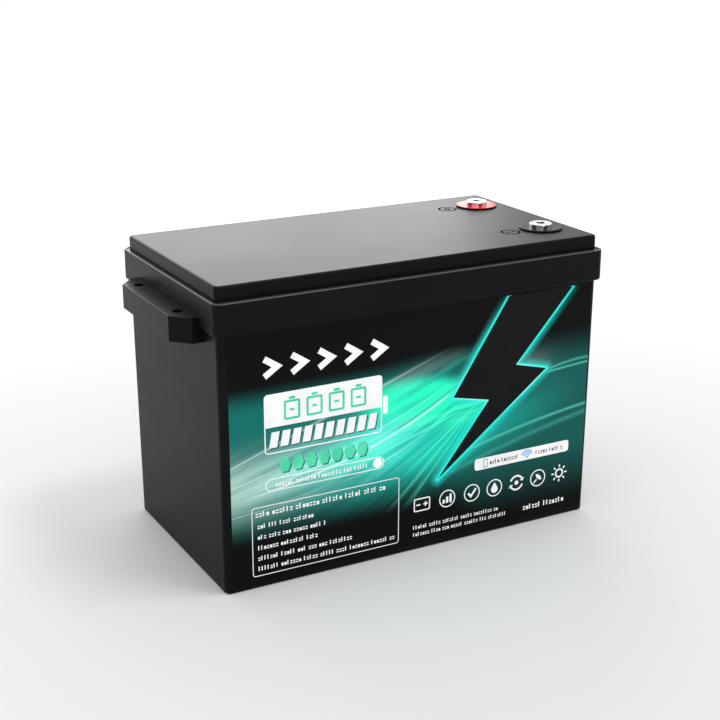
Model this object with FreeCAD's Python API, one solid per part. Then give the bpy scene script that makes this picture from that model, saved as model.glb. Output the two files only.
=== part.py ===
import FreeCAD, Part
import math
import os

# Deep cycle battery, 12.8 V nominal, four prismatic cells in series with a management board.
# Frame: origin at the middle of the base, +X towards the terminals, the label faces -Y, +Z up.
# All sizes are in millimetres.

# Case, outside
RIM_LENGTH = 355.0
RIM_WIDTH = 200.2
RIM_BOTTOM = 213.1
RIM_TOP = 239.6
RIM_CORNER = 7.0
RIM_UNDER_FILLET = 2.4
RIM_LIP_FILLET = 0.9
SHOULDER_LENGTH = 348.0
SHOULDER_WIDTH = 191.0
FOOT_LENGTH = 345.8
FOOT_WIDTH = 189.2
BODY_CORNER = 5.2
FOOT_FILLET = 2.0
FOOT_RING = 14.0
FOOT_RECESS = 0.8

# Case, inside
WALL = 3.4
FLOOR = 4.0
SHELF_Z = 230.0
LIP_THICKNESS = 2.2

# Lid
LID_TOP = 251.3
LID_LENGTH = 347.8
LID_WIDTH = 187.0
LID_CORNER = 4.0
LID_EDGE_FILLET = 2.2
LID_FLANGE_TOP = 239.0
LID_SKIN = 3.6
LID_RIB = 2.0
LID_RIB_DEPTH = 8.4
LID_RIB_ROOT = 0.6
LID_GAP = 0.5
SEAL_HEIGHT = 0.8
SEAL_WIDTH = 2.4

# Rope lugs, one on each end wall
LUG_REACH = 195.4
LUG_SIDE_REACH = 182.6
LUG_FACE_HALF = 51.2
LUG_HALF = 65.8
LUG_BOTTOM = 201.1
LUG_TOP = 221.6
LUG_FILLET = 1.4
LUG_HOLE_RADIUS = 4.3
LUG_HOLE_X = 184.2
LUG_HOLE_Y = 42.5

# Terminals
TERMINAL_X = 146.0
TERMINAL_Y = 50.7
COLLAR_RADIUS = 18.7
COLLAR_TOP = 252.5
DISC_RADIUS = 18.0
DISC_SEAT = 251.1
DISC_TOP = 252.8
DISC_SPIGOT_RADIUS = 9.4
FIT_GAP = 0.05
POST_RADIUS = 9.5
POST_TOP = 256.0
POST_CHAMFER = 0.5
SHANK_RADIUS = 7.0
SHANK_BOTTOM = 227.0
THREAD_RADIUS = 3.4
THREAD_DEPTH = 14.0
THREAD_CHAMFER = 0.6
DRILL_POINT = 2.0
BOSS_RADIUS = 16.5
BOSS_BOTTOM = 244.0
O_RING_RADIUS = 12.5
O_RING_SECTION = 0.95
O_RING_GROOVE_DEPTH = 2.0
O_RING_GROOVE_WIDTH = 3.0
DISC_EDGE_FILLET = 0.3
SPIGOT_RECESS = 0.5
WASHER_RADIUS = 13.0
WASHER_HEIGHT = 1.6
LOCK_NUT_FLATS = 22.0
LOCK_NUT_HEIGHT = 5.4
PALM_THICKNESS = 2.0

# Polarity marks, engraved in the lid
MARK_X = 115.0
MARK_RADIUS = 7.6
MARK_STROKE = 2.0
MARK_DEPTH = 0.5
SIGN_HALF = 4.4

# Labels, thin sheets on the two long walls
LABEL_THICKNESS = 0.2
LABEL_LEFT = -167.0
LABEL_RIGHT = 169.0
LABEL_BOTTOM = 6.0
LABEL_TOP = 210.6
LABEL_CORNER = 1.5

# Cells
CELL_COUNT = 4
CELL_THICKNESS = 53.5
CELL_WIDTH = 174.0
CELL_BASE = 7.0
CELL_TOP = 208.0
CELL_CORNER = 2.0
SHEET_THICKNESS = 1.0
STACK_START = -162.4
STUD_Y = 62.0
GASKET_LENGTH = 34.0
GASKET_WIDTH = 22.0
GASKET_HEIGHT = 1.0
PAD_LENGTH = 24.0
PAD_WIDTH = 16.0
PAD_HEIGHT = 3.0
STUD_RADIUS = 3.0
STUD_TOP = 221.6
VENT_LENGTH = 32.0
VENT_WIDTH = 16.0
VENT_HEIGHT = 0.9
GASKET_CORNER = 3.0
PAD_CORNER = 2.0
STUD_CLEARANCE = 0.2

# Cell stack clamping
END_PLATE = 3.0
END_PLATE_WIDTH = 173.0
END_PLATE_TOP = 200.0
SIDE_SHEET = 0.4
BAND_WIDTH = 16.0
BAND_THICKNESS = 0.6
BAND_HEIGHTS = (66.0, 150.0)
CLIP_LENGTH = 26.0
CLIP_THICKNESS = 1.4
CLIP_LIP = 1.0
CLIP_NOTCH_RADIUS = 1.6
CLIP_NOTCH_PITCH = 7.4
PLATE_HOLE_RADIUS = 8.0
PLATE_CORNER = 1.2
BAND_OUTER_CORNER = 1.4
BAND_INNER_CORNER = 0.8

# Busbars and their fasteners
BUSBAR_WIDTH = 20.0
BUSBAR_OVERHANG = 10.0
BUSBAR_THICKNESS = 2.0
BUSBAR_ARCH = 2.5
NUT_FLATS = 10.0
NUT_HEIGHT = 5.6
NUT_FLANGE_RADIUS = 6.8
NUT_FLANGE_HEIGHT = 1.4
TAG_THICKNESS = 0.8

# Management board and its mounting
BRACKET_X = 64.0
BRACKET_THICKNESS = 2.0
BRACKET_WIDTH = 150.0
BRACKET_BOTTOM = 30.0
BRACKET_TOP = 190.0
BRACKET_HOLE_INSET = 6.0
WINDOW_HALF = 37.5
WINDOW_INSET = 10.0
BOARD_X = 72.0
BOARD_THICKNESS = 1.6
BOARD_WIDTH = 128.0
BOARD_BOTTOM = 42.0
BOARD_TOP = 176.0
SPACER_RADIUS = 4.0
SCREW_RADIUS = 1.9
SCREW_HEAD_RADIUS = 3.6
SCREW_HEAD_HEIGHT = 2.2
SCREW_HEAD_FILLET = 0.9
SCREW_CLEARANCE = 0.2
CROSS_HALF_WIDTH = 0.4
CROSS_HALF_LENGTH = 2.0
CROSS_DEPTH = 1.2
SCREW_BITE = 2.0
BOARD_HOLE_INSET = 7.0
SINK_BOTTOM = 78.0
SINK_TOP = 158.0
SINK_WIDTH = 112.0
SINK_BASE = 4.0
FIN_COUNT = 14
FIN_THICKNESS = 1.6
FIN_HEIGHT = 11.0
CHIP_HEIGHT = 2.5
CHIP_COLUMNS = 8
CHIP_ROWS = (94.0, 118.0, 142.0)
CHIP_WIDTH = 10.0
CHIP_LENGTH = 9.0
LEG_LENGTH = 2.5
LEG_WIDTH = 1.0
LEG_THICKNESS = 0.5
SHUNT_COUNT = 6
SHUNT_PITCH = 10.0
SHUNT_WIDTH = 5.0
SHUNT_RISE = 4.0
SHUNT_STRIP = 1.0
SHUNT_LOW = 62.0
SHUNT_HIGH = 74.0
CAPACITOR_PLACES = (34.0, 42.0, 50.0)
CAPACITOR_Z = 54.0
CAPACITOR_RADIUS = 3.2
CAPACITOR_HEIGHT = 7.0
RADIO_Y = -43.0
RADIO_WIDTH = 18.0
RADIO_BOTTOM = 48.0
RADIO_TOP = 72.0
RADIO_BOARD = 0.8
RADIO_CAN_INSET = 2.0
RADIO_CAN_HEIGHT = 2.0
RADIO_CAN_LENGTH = 14.0
THERMAL_PAD = 0.6
TAB_WIDTH = 20.0
TAB_THICKNESS = 2.0
TAB_SHELF_Z = 212.0
TAB_SHELF_START = 52.0
TAB_BOLT_X = 62.0
TAB_RISE = 2.0
TAB_HEAD_HEIGHT = 4.0
TAB_NUT_HEIGHT = 5.0
TAB_BOLT_REACH = 7.0
LINK_TAB_Y = 24.0
OUTPUT_TAB_Y = -41.0

# Cables
CABLE_RADIUS = 4.0
BARREL_RADIUS = 5.2
BARREL_LENGTH = 14.0
BARREL_STOP = 2.0
STRAP_SHARE = 0.75
CABLE_ENTRY = 3.0
LINK_FIRST_RUN = 60.0
LINK_LAST_RUN = 40.0
LINK_SWAY = 4.0
RISE_START = 0.34
RISE_END = 0.66
PALM_RADIUS = 9.0
TERMINAL_PALM_RADIUS = 12.5
LUG_NECK = 11.0
TERMINAL_LUG_NECK = 15.0
WIRE_RADIUS = 0.8
WIRE_Z = 210.5
WIRE_LIFT_START = 26.0
WIRE_LIFT_END = 18.0
WIRE_SIDE_TURN = 14.0
PLUG_X = 77.0
PLUG_TOP = 178.0
PLUG_DEPTH = 2.5
PLUG_RISE = 6.0
PLUG_HALF = 3.0
PLUG_SOCKET = 3.0
SENSE_PLUG_WIDTH = 22.0
SENSOR_Y = -20.0
SENSOR_PLUG_Y = -16.0
SENSOR_RUN = 20.0
BEAD_RADIUS = 2.2
BEAD_HALF = 5.0
TAG_RADIUS = 5.2
TAG_BARREL_RADIUS = 1.5
TAG_BARREL_LENGTH = 6.0
TAG_NECK = 7.5
TAG_ENTRY = 11.0

# Foam and insulation
PAD_GAP = 0.2
TOP_BOARD_Z = 224.0
TOP_BOARD_THICKNESS = 1.0
TOP_PAD_TOP = 238.9
SPACER_TOP = 28.0
SPACER_HOLE_RADIUS = 18.0
TOP_PAD_HOLE_RADIUS = 20.0
PAD_INSET = 2.0

V = FreeCAD.Vector
ORIGIN = V(0, 0, 0)
ALONG_X = V(1, 0, 0)
UP = V(0, 0, 1)
DOWN = V(0, 0, -1)
ARC_SHARE = 0.45
OVERSHOOT = 1.0
SNAP = 1e-4
HEX_CONE_FOOT = 1.6
HEX_CONE_TOP = 0.92


# ---------------------------------------------------------------- building blocks

def box(x0, x1, y0, y1, z0, z1):
    return Part.makeBox(x1 - x0, y1 - y0, z1 - z0, V(x0, y0, z0))


def cylinder(radius, z0, z1, x=0.0, y=0.0):
    return Part.makeCylinder(radius, z1 - z0, V(x, y, z0), UP)


def ring(outer, inner, z0, z1, x=0.0, y=0.0):
    return cylinder(outer, z0, z1, x, y).cut(cylinder(inner, z0, z1, x, y))


def cylinder_x(radius, x0, x1, y, z):
    return Part.makeCylinder(radius, x1 - x0, V(x0, y, z), ALONG_X)


def rounded_outline(length, width, radius, z):
    """Closed wire of a rectangle with round corners, centred on the Z axis."""
    a = length / 2.0
    b = width / 2.0
    corners = ((a, b, 0.0), (-a, b, 90.0), (-a, -b, 180.0), (a, -b, 270.0))
    edges = []
    ends = []
    for x, y, start in corners:
        centre = V(x - math.copysign(radius, x), y - math.copysign(radius, y), z)
        circle = Part.Circle(centre, UP, radius)
        arc = Part.Arc(circle, math.radians(start), math.radians(start + 90.0))
        edges.append(arc.toShape())
        ends.append((arc.StartPoint, arc.EndPoint))
    wire_edges = []
    for index, edge in enumerate(edges):
        wire_edges.append(edge)
        following = ends[(index + 1) % len(ends)][0]
        wire_edges.append(Part.LineSegment(ends[index][1], following).toShape())
    return Part.Wire(wire_edges)


def rounded_block(length, width, radius, z0, z1, x=0.0, y=0.0):
    face = Part.Face(rounded_outline(length, width, radius, z0))
    block = face.extrude(V(0, 0, z1 - z0))
    block.translate(V(x, y, 0))
    return block


def tapered_block(foot, shoulder, radius, z0, z1):
    """Round-cornered block whose length and width grow from foot to shoulder."""
    low = rounded_outline(foot[0], foot[1], radius, z0)
    high = rounded_outline(shoulder[0], shoulder[1], radius, z1)
    return Part.makeLoft([low, high], True, True)


def prism(points, direction):
    """Solid of a closed polygon swept along a direction."""
    return Part.Face(Part.makePolygon(points + [points[0]])).extrude(direction)


def hex_nut(flats, height, hole, z0, x, y):
    """Six-sided nut with its flats facing along Y."""
    reach = flats / math.sqrt(3.0)
    points = []
    for step in range(6):
        angle = math.radians(60.0 * step)
        points.append(V(x + reach * math.cos(angle), y + reach * math.sin(angle), z0))
    nut = prism(points, V(0, 0, height))
    nut = nut.common(Part.makeCone(reach * HEX_CONE_FOOT, reach * HEX_CONE_TOP, height, V(x, y, z0), UP))
    return nut.cut(cylinder(hole, z0, z0 + height, x, y))


def place(shape, origin, x_dir, z_dir):
    """Copy of a shape with its own X and Z axes turned to the given directions."""
    y_dir = z_dir.cross(x_dir)
    matrix = FreeCAD.Matrix(
        x_dir.x, y_dir.x, z_dir.x, origin.x,
        x_dir.y, y_dir.y, z_dir.y, origin.y,
        x_dir.z, y_dir.z, z_dir.z, origin.z,
        0, 0, 0, 1,
    )
    moved = shape.copy()
    moved.Placement = FreeCAD.Placement(matrix).multiply(moved.Placement)
    return moved


def fillet_where(shape, radius, wanted):
    """Round every edge that the test function picks."""
    edges = [edge for edge in shape.Edges if wanted(edge)]
    return shape.makeFillet(radius, edges)


def lies_at_height(edge, z):
    bounds = edge.BoundBox
    return abs(bounds.ZMin - z) < SNAP and abs(bounds.ZMax - z) < SNAP


def is_upright(edge):
    bounds = edge.BoundBox
    return bounds.XLength < SNAP and bounds.YLength < SNAP


def cable_path(points):
    """Straight runs joined by tangent arcs, each as large as its two runs allow."""
    edges = []
    start = points[0]
    radii = []
    for before, corner, after in zip(points, points[1:], points[2:]):
        arriving = (corner - before).normalize()
        leaving = (after - corner).normalize()
        half_turn = arriving.getAngle(leaving) / 2.0
        shorter = min(corner.distanceToPoint(before), corner.distanceToPoint(after))
        reach = ARC_SHARE * shorter
        radius = reach / math.tan(half_turn)
        radii.append(radius)
        arc_start = corner - arriving * reach
        arc_end = corner + leaving * reach
        inward = (leaving - arriving).normalize()
        middle = corner + inward * (radius / math.cos(half_turn) - radius)
        edges.append(Part.LineSegment(start, arc_start).toShape())
        edges.append(Part.Arc(arc_start, middle, arc_end).toShape())
        start = arc_end
    edges.append(Part.LineSegment(start, points[-1]).toShape())
    return Part.Wire(edges), radii


def tube(points, radius, name):
    """Round cable along the path, with its bend radii and volume reported."""
    path, radii = cable_path(points)
    start = points[0]
    circle = Part.Circle(start, points[1] - start, radius)
    profile = Part.Wire(circle.toShape())
    solid = path.makePipeShell([profile], True, True)
    expected = math.pi * radius ** 2 * path.Length
    print(name, "length %.1f" % path.Length, "radii", ["%.1f" % r for r in radii],
          "volume ratio %.4f" % (solid.Volume / expected))
    return solid


def ring_lug(hole, palm, thickness, barrel, bore, length, neck):
    """Cable lug with its hole on the Z axis, palm on z = 0 and barrel along +X."""
    strap_half = barrel * STRAP_SHARE
    body = cylinder(palm, 0, thickness)
    body = body.fuse(box(0, neck + OVERSHOOT, -strap_half, strap_half, 0, thickness))
    body = body.fuse(cylinder_x(barrel, neck, neck + length, 0, barrel))
    body = body.cut(cylinder(hole, -OVERSHOOT, thickness + OVERSHOOT))
    body = body.cut(cylinder_x(bore, neck + BARREL_STOP, neck + length + OVERSHOOT, 0, barrel))
    return body.removeSplitter()


# ---------------------------------------------------------------- case

def body_skin(grow):
    """Outside of the drafted body, grown outwards by a thickness."""
    foot = (FOOT_LENGTH + 2 * grow, FOOT_WIDTH + 2 * grow)
    shoulder = (SHOULDER_LENGTH + 2 * grow, SHOULDER_WIDTH + 2 * grow)
    return tapered_block(foot, shoulder, BODY_CORNER + grow, 0.0, RIM_BOTTOM)


def rim_band():
    band = rounded_block(RIM_LENGTH, RIM_WIDTH, RIM_CORNER, RIM_BOTTOM, RIM_TOP)
    band = fillet_where(band, RIM_UNDER_FILLET, lambda e: lies_at_height(e, RIM_BOTTOM))
    return fillet_where(band, RIM_LIP_FILLET, lambda e: lies_at_height(e, RIM_TOP))


def lid_pocket():
    """Space above the shelf that takes the lid's flange."""
    length = RIM_LENGTH - 2 * LIP_THICKNESS
    width = RIM_WIDTH - 2 * LIP_THICKNESS
    return rounded_block(length, width, RIM_CORNER - LIP_THICKNESS, SHELF_Z, RIM_TOP + OVERSHOOT)


def container():
    body = body_skin(0.0)
    body = fillet_where(body, FOOT_FILLET, lambda e: lies_at_height(e, 0.0))
    body = body.fuse(rim_band())
    floor_size = (FOOT_LENGTH - 2 * WALL, FOOT_WIDTH - 2 * WALL)
    mouth_size = (SHOULDER_LENGTH - 2 * WALL, SHOULDER_WIDTH - 2 * WALL)
    inner_corner = BODY_CORNER - WALL
    body = body.cut(tapered_block(floor_size, mouth_size, inner_corner, FLOOR, RIM_BOTTOM))
    throat = rounded_block(mouth_size[0], mouth_size[1], inner_corner, RIM_BOTTOM, SHELF_Z)
    body = body.cut(throat)
    body = body.cut(lid_pocket())
    recess_size = (FOOT_LENGTH - 2 * FOOT_RING, FOOT_WIDTH - 2 * FOOT_RING)
    recess = rounded_block(recess_size[0], recess_size[1], BODY_CORNER, -OVERSHOOT, FOOT_RECESS)
    return body.cut(recess)


def rope_lug(side):
    """Moulded block on an end wall with two upright holes for a rope handle."""
    inner = SHOULDER_LENGTH / 2.0 - 2 * WALL
    outline = (
        (inner, -LUG_HALF),
        (LUG_SIDE_REACH, -LUG_HALF),
        (LUG_REACH, -LUG_FACE_HALF),
        (LUG_REACH, LUG_FACE_HALF),
        (LUG_SIDE_REACH, LUG_HALF),
        (inner, LUG_HALF),
    )
    block = prism([V(side * x, y, LUG_BOTTOM) for x, y in outline], V(0, 0, LUG_TOP - LUG_BOTTOM))
    outer_start = RIM_LENGTH / 2.0 + OVERSHOOT
    block = fillet_where(
        block, LUG_FILLET,
        lambda e: abs(e.BoundBox.Center.x) > outer_start and is_upright(e),
    )
    block = fillet_where(
        block, LUG_FILLET / 2.0,
        lambda e: abs(e.BoundBox.Center.x) > outer_start and e.BoundBox.ZLength < SNAP,
    )
    block = block.cut(rounded_block(RIM_LENGTH, RIM_WIDTH, RIM_CORNER, RIM_BOTTOM, RIM_TOP))
    block = block.cut(body_skin(0.0))
    low = LUG_BOTTOM - OVERSHOOT
    high = LUG_TOP + OVERSHOOT
    for y in (-LUG_HOLE_Y, LUG_HOLE_Y):
        block = block.cut(cylinder(LUG_HOLE_RADIUS, low, high, side * LUG_HOLE_X, y))
    return block


# ---------------------------------------------------------------- lid

def lid_shell():
    flange_length = RIM_LENGTH - 2 * LIP_THICKNESS - 2 * LID_GAP
    flange_width = RIM_WIDTH - 2 * LIP_THICKNESS - 2 * LID_GAP
    flange_corner = RIM_CORNER - LIP_THICKNESS - LID_GAP
    base = SHELF_Z + SEAL_HEIGHT
    shell = rounded_block(LID_LENGTH, LID_WIDTH, LID_CORNER, base, LID_TOP)
    shell = fillet_where(shell, LID_EDGE_FILLET, lambda e: lies_at_height(e, LID_TOP))
    flange = rounded_block(flange_length, flange_width, flange_corner, base, LID_FLANGE_TOP)
    shell = shell.fuse(flange)
    hollow = rounded_block(
        LID_LENGTH - 2 * LID_SKIN, LID_WIDTH - 2 * LID_SKIN, LID_CORNER / 2.0,
        base - OVERSHOOT, LID_TOP - LID_SKIN,
    )
    return shell.cut(hollow)


def lid_ribs():
    """Stiffening ribs under the lid, clear of the terminal bosses."""
    top = LID_TOP - LID_SKIN + LID_RIB_ROOT
    bottom = LID_TOP - LID_SKIN - LID_RIB_DEPTH
    half_length = LID_LENGTH / 2.0 - LID_SKIN + LID_RIB_ROOT
    half_width = LID_WIDTH / 2.0 - LID_SKIN + LID_RIB_ROOT
    half_rib = LID_RIB / 2.0
    rib_pitch = half_length / 3.0
    ribs = []
    for y in (-half_width / 3.0, half_width / 3.0):
        ribs.append(box(-half_length, half_length, y - half_rib, y + half_rib, bottom, top))
    for step in (-2, -1, 0, 1, 2):
        x = step * rib_pitch
        ribs.append(box(x - half_rib, x + half_rib, -half_width, half_width, bottom, top))
    return ribs


def polarity_mark(y, positive):
    """Cutter for an engraved ring with a plus or a minus inside."""
    floor = LID_TOP - MARK_DEPTH
    above = LID_TOP + OVERSHOOT
    half = MARK_STROKE / 2.0
    mark = ring(MARK_RADIUS + half, MARK_RADIUS - half, floor, above, MARK_X, y)
    bars = [box(MARK_X - SIGN_HALF, MARK_X + SIGN_HALF, y - half, y + half, floor, above)]
    if positive:
        bars.append(box(MARK_X - half, MARK_X + half, y - SIGN_HALF, y + SIGN_HALF, floor, above))
    for bar in bars:
        mark = mark.fuse(bar)
    return mark


def lid():
    shell = lid_shell()
    for rib in lid_ribs():
        shell = shell.fuse(rib)
    for side in (-1, 1):
        y = side * TERMINAL_Y
        root = LID_TOP - OVERSHOOT
        above = COLLAR_TOP + OVERSHOOT
        shell = shell.fuse(cylinder(COLLAR_RADIUS, root, COLLAR_TOP, TERMINAL_X, y))
        shell = shell.fuse(cylinder(BOSS_RADIUS, BOSS_BOTTOM, root, TERMINAL_X, y))
        shell = shell.cut(cylinder(DISC_RADIUS + FIT_GAP, DISC_SEAT, above, TERMINAL_X, y))
        passage = DISC_SPIGOT_RADIUS + FIT_GAP
        shell = shell.cut(cylinder(passage, BOSS_BOTTOM - OVERSHOOT, above, TERMINAL_X, y))
        groove = ring(
            O_RING_RADIUS + O_RING_GROOVE_WIDTH / 2.0, O_RING_RADIUS - O_RING_GROOVE_WIDTH / 2.0,
            DISC_SEAT - O_RING_GROOVE_DEPTH, above, TERMINAL_X, y,
        )
        shell = shell.cut(groove)
        shell = shell.cut(polarity_mark(y, side > 0))
    return shell.removeSplitter()


def lid_seal():
    outer_length = RIM_LENGTH - 2 * LIP_THICKNESS - 2 * LID_GAP
    outer_width = RIM_WIDTH - 2 * LIP_THICKNESS - 2 * LID_GAP
    corner = RIM_CORNER - LIP_THICKNESS
    top = SHELF_Z + SEAL_HEIGHT
    seal = rounded_block(outer_length, outer_width, corner, SHELF_Z, top)
    inner_length = outer_length - 2 * SEAL_WIDTH
    inner_width = outer_width - 2 * SEAL_WIDTH
    return seal.cut(rounded_block(inner_length, inner_width, corner / 2.0, SHELF_Z, top))


# ---------------------------------------------------------------- terminals

def terminal_post(side):
    """Plated bush: a flat head above the disc, a threaded shank through the lid."""
    y = side * TERMINAL_Y
    head = cylinder(POST_RADIUS, DISC_TOP, POST_TOP, TERMINAL_X, y)
    top_edge = [edge for edge in head.Edges if lies_at_height(edge, POST_TOP)]
    head = head.makeChamfer(POST_CHAMFER, top_edge)
    post = head.fuse(cylinder(SHANK_RADIUS, SHANK_BOTTOM, DISC_TOP, TERMINAL_X, y))
    hole_bottom = POST_TOP - THREAD_DEPTH
    post = post.cut(cylinder(THREAD_RADIUS, hole_bottom, POST_TOP, TERMINAL_X, y))
    point = Part.makeCone(
        0.0, THREAD_RADIUS, DRILL_POINT, V(TERMINAL_X, y, hole_bottom - DRILL_POINT), UP)
    post = post.cut(point)
    mouth = Part.makeCone(
        THREAD_RADIUS, THREAD_RADIUS + THREAD_CHAMFER, THREAD_CHAMFER,
        V(TERMINAL_X, y, POST_TOP - THREAD_CHAMFER), UP)
    return post.cut(mouth)


def terminal_disc(side):
    y = side * TERMINAL_Y
    disc = cylinder(DISC_RADIUS, DISC_SEAT, DISC_TOP, TERMINAL_X, y)
    disc = fillet_where(disc, DISC_EDGE_FILLET, lambda e: lies_at_height(e, DISC_TOP))
    spigot_end = BOSS_BOTTOM + SPIGOT_RECESS
    disc = disc.fuse(cylinder(DISC_SPIGOT_RADIUS, spigot_end, DISC_SEAT, TERMINAL_X, y))
    hole = SHANK_RADIUS + FIT_GAP
    return disc.cut(cylinder(hole, BOSS_BOTTOM, DISC_TOP + OVERSHOOT, TERMINAL_X, y))


def terminal_o_rings():
    z = DISC_SEAT - O_RING_GROOVE_DEPTH / 2.0
    rings = []
    for side in (-1, 1):
        centre = V(TERMINAL_X, side * TERMINAL_Y, z)
        rings.append(Part.makeTorus(O_RING_RADIUS, O_RING_SECTION, centre, UP))
    return Part.makeCompound(rings)


def terminal_washers():
    hole = SHANK_RADIUS + FIT_GAP
    bottom = BOSS_BOTTOM - WASHER_HEIGHT
    washers = [ring(WASHER_RADIUS, hole, bottom, BOSS_BOTTOM, TERMINAL_X, side * TERMINAL_Y)
               for side in (-1, 1)]
    return Part.makeCompound(washers)


def lock_nut_levels():
    """Undersides of the two nuts on each shank: one under the washer, one under the lug."""
    upper = BOSS_BOTTOM - WASHER_HEIGHT - LOCK_NUT_HEIGHT
    lower = upper - PALM_THICKNESS - LOCK_NUT_HEIGHT
    return upper, lower


def terminal_lock_nuts():
    nuts = []
    hole = SHANK_RADIUS + FIT_GAP
    for side in (-1, 1):
        for z in lock_nut_levels():
            nuts.append(hex_nut(LOCK_NUT_FLATS, LOCK_NUT_HEIGHT, hole, z, TERMINAL_X, side * TERMINAL_Y))
    return Part.makeCompound(nuts)


# ---------------------------------------------------------------- labels

def label(side):
    """Printed sheet that follows the drafted wall and turns the first corner."""
    width = LABEL_RIGHT - LABEL_LEFT
    height = LABEL_TOP - LABEL_BOTTOM
    sheet = rounded_block(width, height, LABEL_CORNER, 0.0, RIM_WIDTH / 2.0)
    centre = V((LABEL_LEFT + LABEL_RIGHT) / 2.0, 0, (LABEL_BOTTOM + LABEL_TOP) / 2.0)
    outline = place(sheet, centre, ALONG_X, V(0, -1, 0))
    outline = outline.cut(box(-RIM_LENGTH, RIM_LENGTH, -FOOT_WIDTH / 4.0, OVERSHOOT, 0, RIM_TOP))
    skin = body_skin(LABEL_THICKNESS).common(outline).cut(body_skin(0.0))
    if side > 0:
        skin.rotate(ORIGIN, UP, 180)
    return skin


# ---------------------------------------------------------------- cells

def cell_start(index):
    return STACK_START + index * (CELL_THICKNESS + SHEET_THICKNESS)


def cell_middle(index):
    return cell_start(index) + CELL_THICKNESS / 2.0


def stack_end():
    return cell_start(CELL_COUNT - 1) + CELL_THICKNESS


def positive_side(index):
    """Side of a cell's positive pole: it alternates, and the last one is at +Y."""
    return 1 if (CELL_COUNT - 1 - index) % 2 == 0 else -1


def stud_places():
    """Middle of every pole: cell, x, y."""
    return [(index, cell_middle(index), side * STUD_Y)
            for index in range(CELL_COUNT) for side in (-1, 1)]


def pad_top():
    return CELL_TOP + GASKET_HEIGHT + PAD_HEIGHT


def cell_can(index):
    can = rounded_block(
        CELL_THICKNESS, CELL_WIDTH, CELL_CORNER, CELL_BASE, CELL_TOP, cell_middle(index), 0.0)
    return fillet_where(can, CELL_CORNER / 2.0, lambda e: lies_at_height(e, CELL_TOP))


def cell_gaskets():
    top = CELL_TOP + GASKET_HEIGHT
    return Part.makeCompound([
        rounded_block(GASKET_LENGTH, GASKET_WIDTH, GASKET_CORNER, CELL_TOP, top, x, y)
        for _, x, y in stud_places()])


def cell_poles():
    poles = []
    base = CELL_TOP + GASKET_HEIGHT
    for _, x, y in stud_places():
        pole = rounded_block(PAD_LENGTH, PAD_WIDTH, PAD_CORNER, base, pad_top(), x, y)
        poles.append(pole.fuse(cylinder(STUD_RADIUS, pad_top(), STUD_TOP, x, y)))
    return Part.makeCompound(poles)


def cell_vents():
    top = CELL_TOP + VENT_HEIGHT
    corner = VENT_WIDTH / 2.0 - FIT_GAP
    return Part.makeCompound([
        rounded_block(VENT_WIDTH, VENT_LENGTH, corner, CELL_TOP, top, cell_middle(index), 0.0)
        for index in range(CELL_COUNT)])


def cell_sheets():
    """Insulating sheets between the cells and at both ends of the stack."""
    sheets = []
    for index in range(CELL_COUNT + 1):
        start = cell_start(index) - SHEET_THICKNESS
        half = END_PLATE_WIDTH / 2.0
        sheets.append(box(start, start + SHEET_THICKNESS, -half, half, CELL_BASE, END_PLATE_TOP))
    return Part.makeCompound(sheets)


def side_sheets():
    """Thin sheets between the cells and the steel bands."""
    inner = CELL_WIDTH / 2.0
    sheets = []
    for side in (-1, 1):
        edges = sorted((side * inner, side * (inner + SIDE_SHEET)))
        sheets.append(box(STACK_START, stack_end(), edges[0], edges[1], CELL_BASE, END_PLATE_TOP))
    return Part.makeCompound(sheets)


def end_plate(low_x):
    middle = low_x + END_PLATE / 2.0
    plate = rounded_block(
        END_PLATE, END_PLATE_WIDTH, PLATE_CORNER, CELL_BASE, END_PLATE_TOP, middle, 0.0)
    x0 = low_x - OVERSHOOT
    x1 = low_x + END_PLATE + OVERSHOOT
    for band_z in BAND_HEIGHTS:
        z = band_z + BAND_WIDTH + PLATE_HOLE_RADIUS
        for y in (-END_PLATE_WIDTH / 4.0, END_PLATE_WIDTH / 4.0):
            plate = plate.cut(cylinder_x(PLATE_HOLE_RADIUS, x0, x1, y, z))
    return plate


def left_plate_x():
    return STACK_START - SHEET_THICKNESS - END_PLATE


def right_plate_x():
    return stack_end() + SHEET_THICKNESS


def clamp_bands():
    bands = []
    low = left_plate_x()
    high = right_plate_x() + END_PLATE
    length = high - low
    width = CELL_WIDTH + 2 * SIDE_SHEET
    middle = (low + high) / 2.0
    for z in BAND_HEIGHTS:
        z0 = z - BAND_WIDTH / 2.0
        z1 = z + BAND_WIDTH / 2.0
        outer = rounded_block(
            length + 2 * BAND_THICKNESS, width + 2 * BAND_THICKNESS, BAND_OUTER_CORNER,
            z0, z1, middle, 0.0)
        inner = rounded_block(length, width, BAND_INNER_CORNER, z0, z1, middle, 0.0)
        bands.append(outer.cut(inner))
    return Part.makeCompound(bands)


def band_clips():
    """Crimped seals that close the bands, with three pressed notches each."""
    clips = []
    start = right_plate_x() + END_PLATE + BAND_THICKNESS
    half = CLIP_LENGTH / 2.0
    for z in BAND_HEIGHTS:
        z0 = z - BAND_WIDTH / 2.0 - CLIP_LIP
        z1 = z + BAND_WIDTH / 2.0 + CLIP_LIP
        end = start + CLIP_THICKNESS
        clip = box(start, end, -half, half, z0, z1)
        for notch in (-1, 0, 1):
            y = notch * CLIP_NOTCH_PITCH
            for edge_z in (z0, z1):
                cutter = cylinder_x(CLIP_NOTCH_RADIUS, start - OVERSHOOT, end + OVERSHOOT, y, edge_z)
                clip = clip.cut(cutter)
        clips.append(clip)
    return Part.makeCompound(clips)


# ---------------------------------------------------------------- busbars

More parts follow.
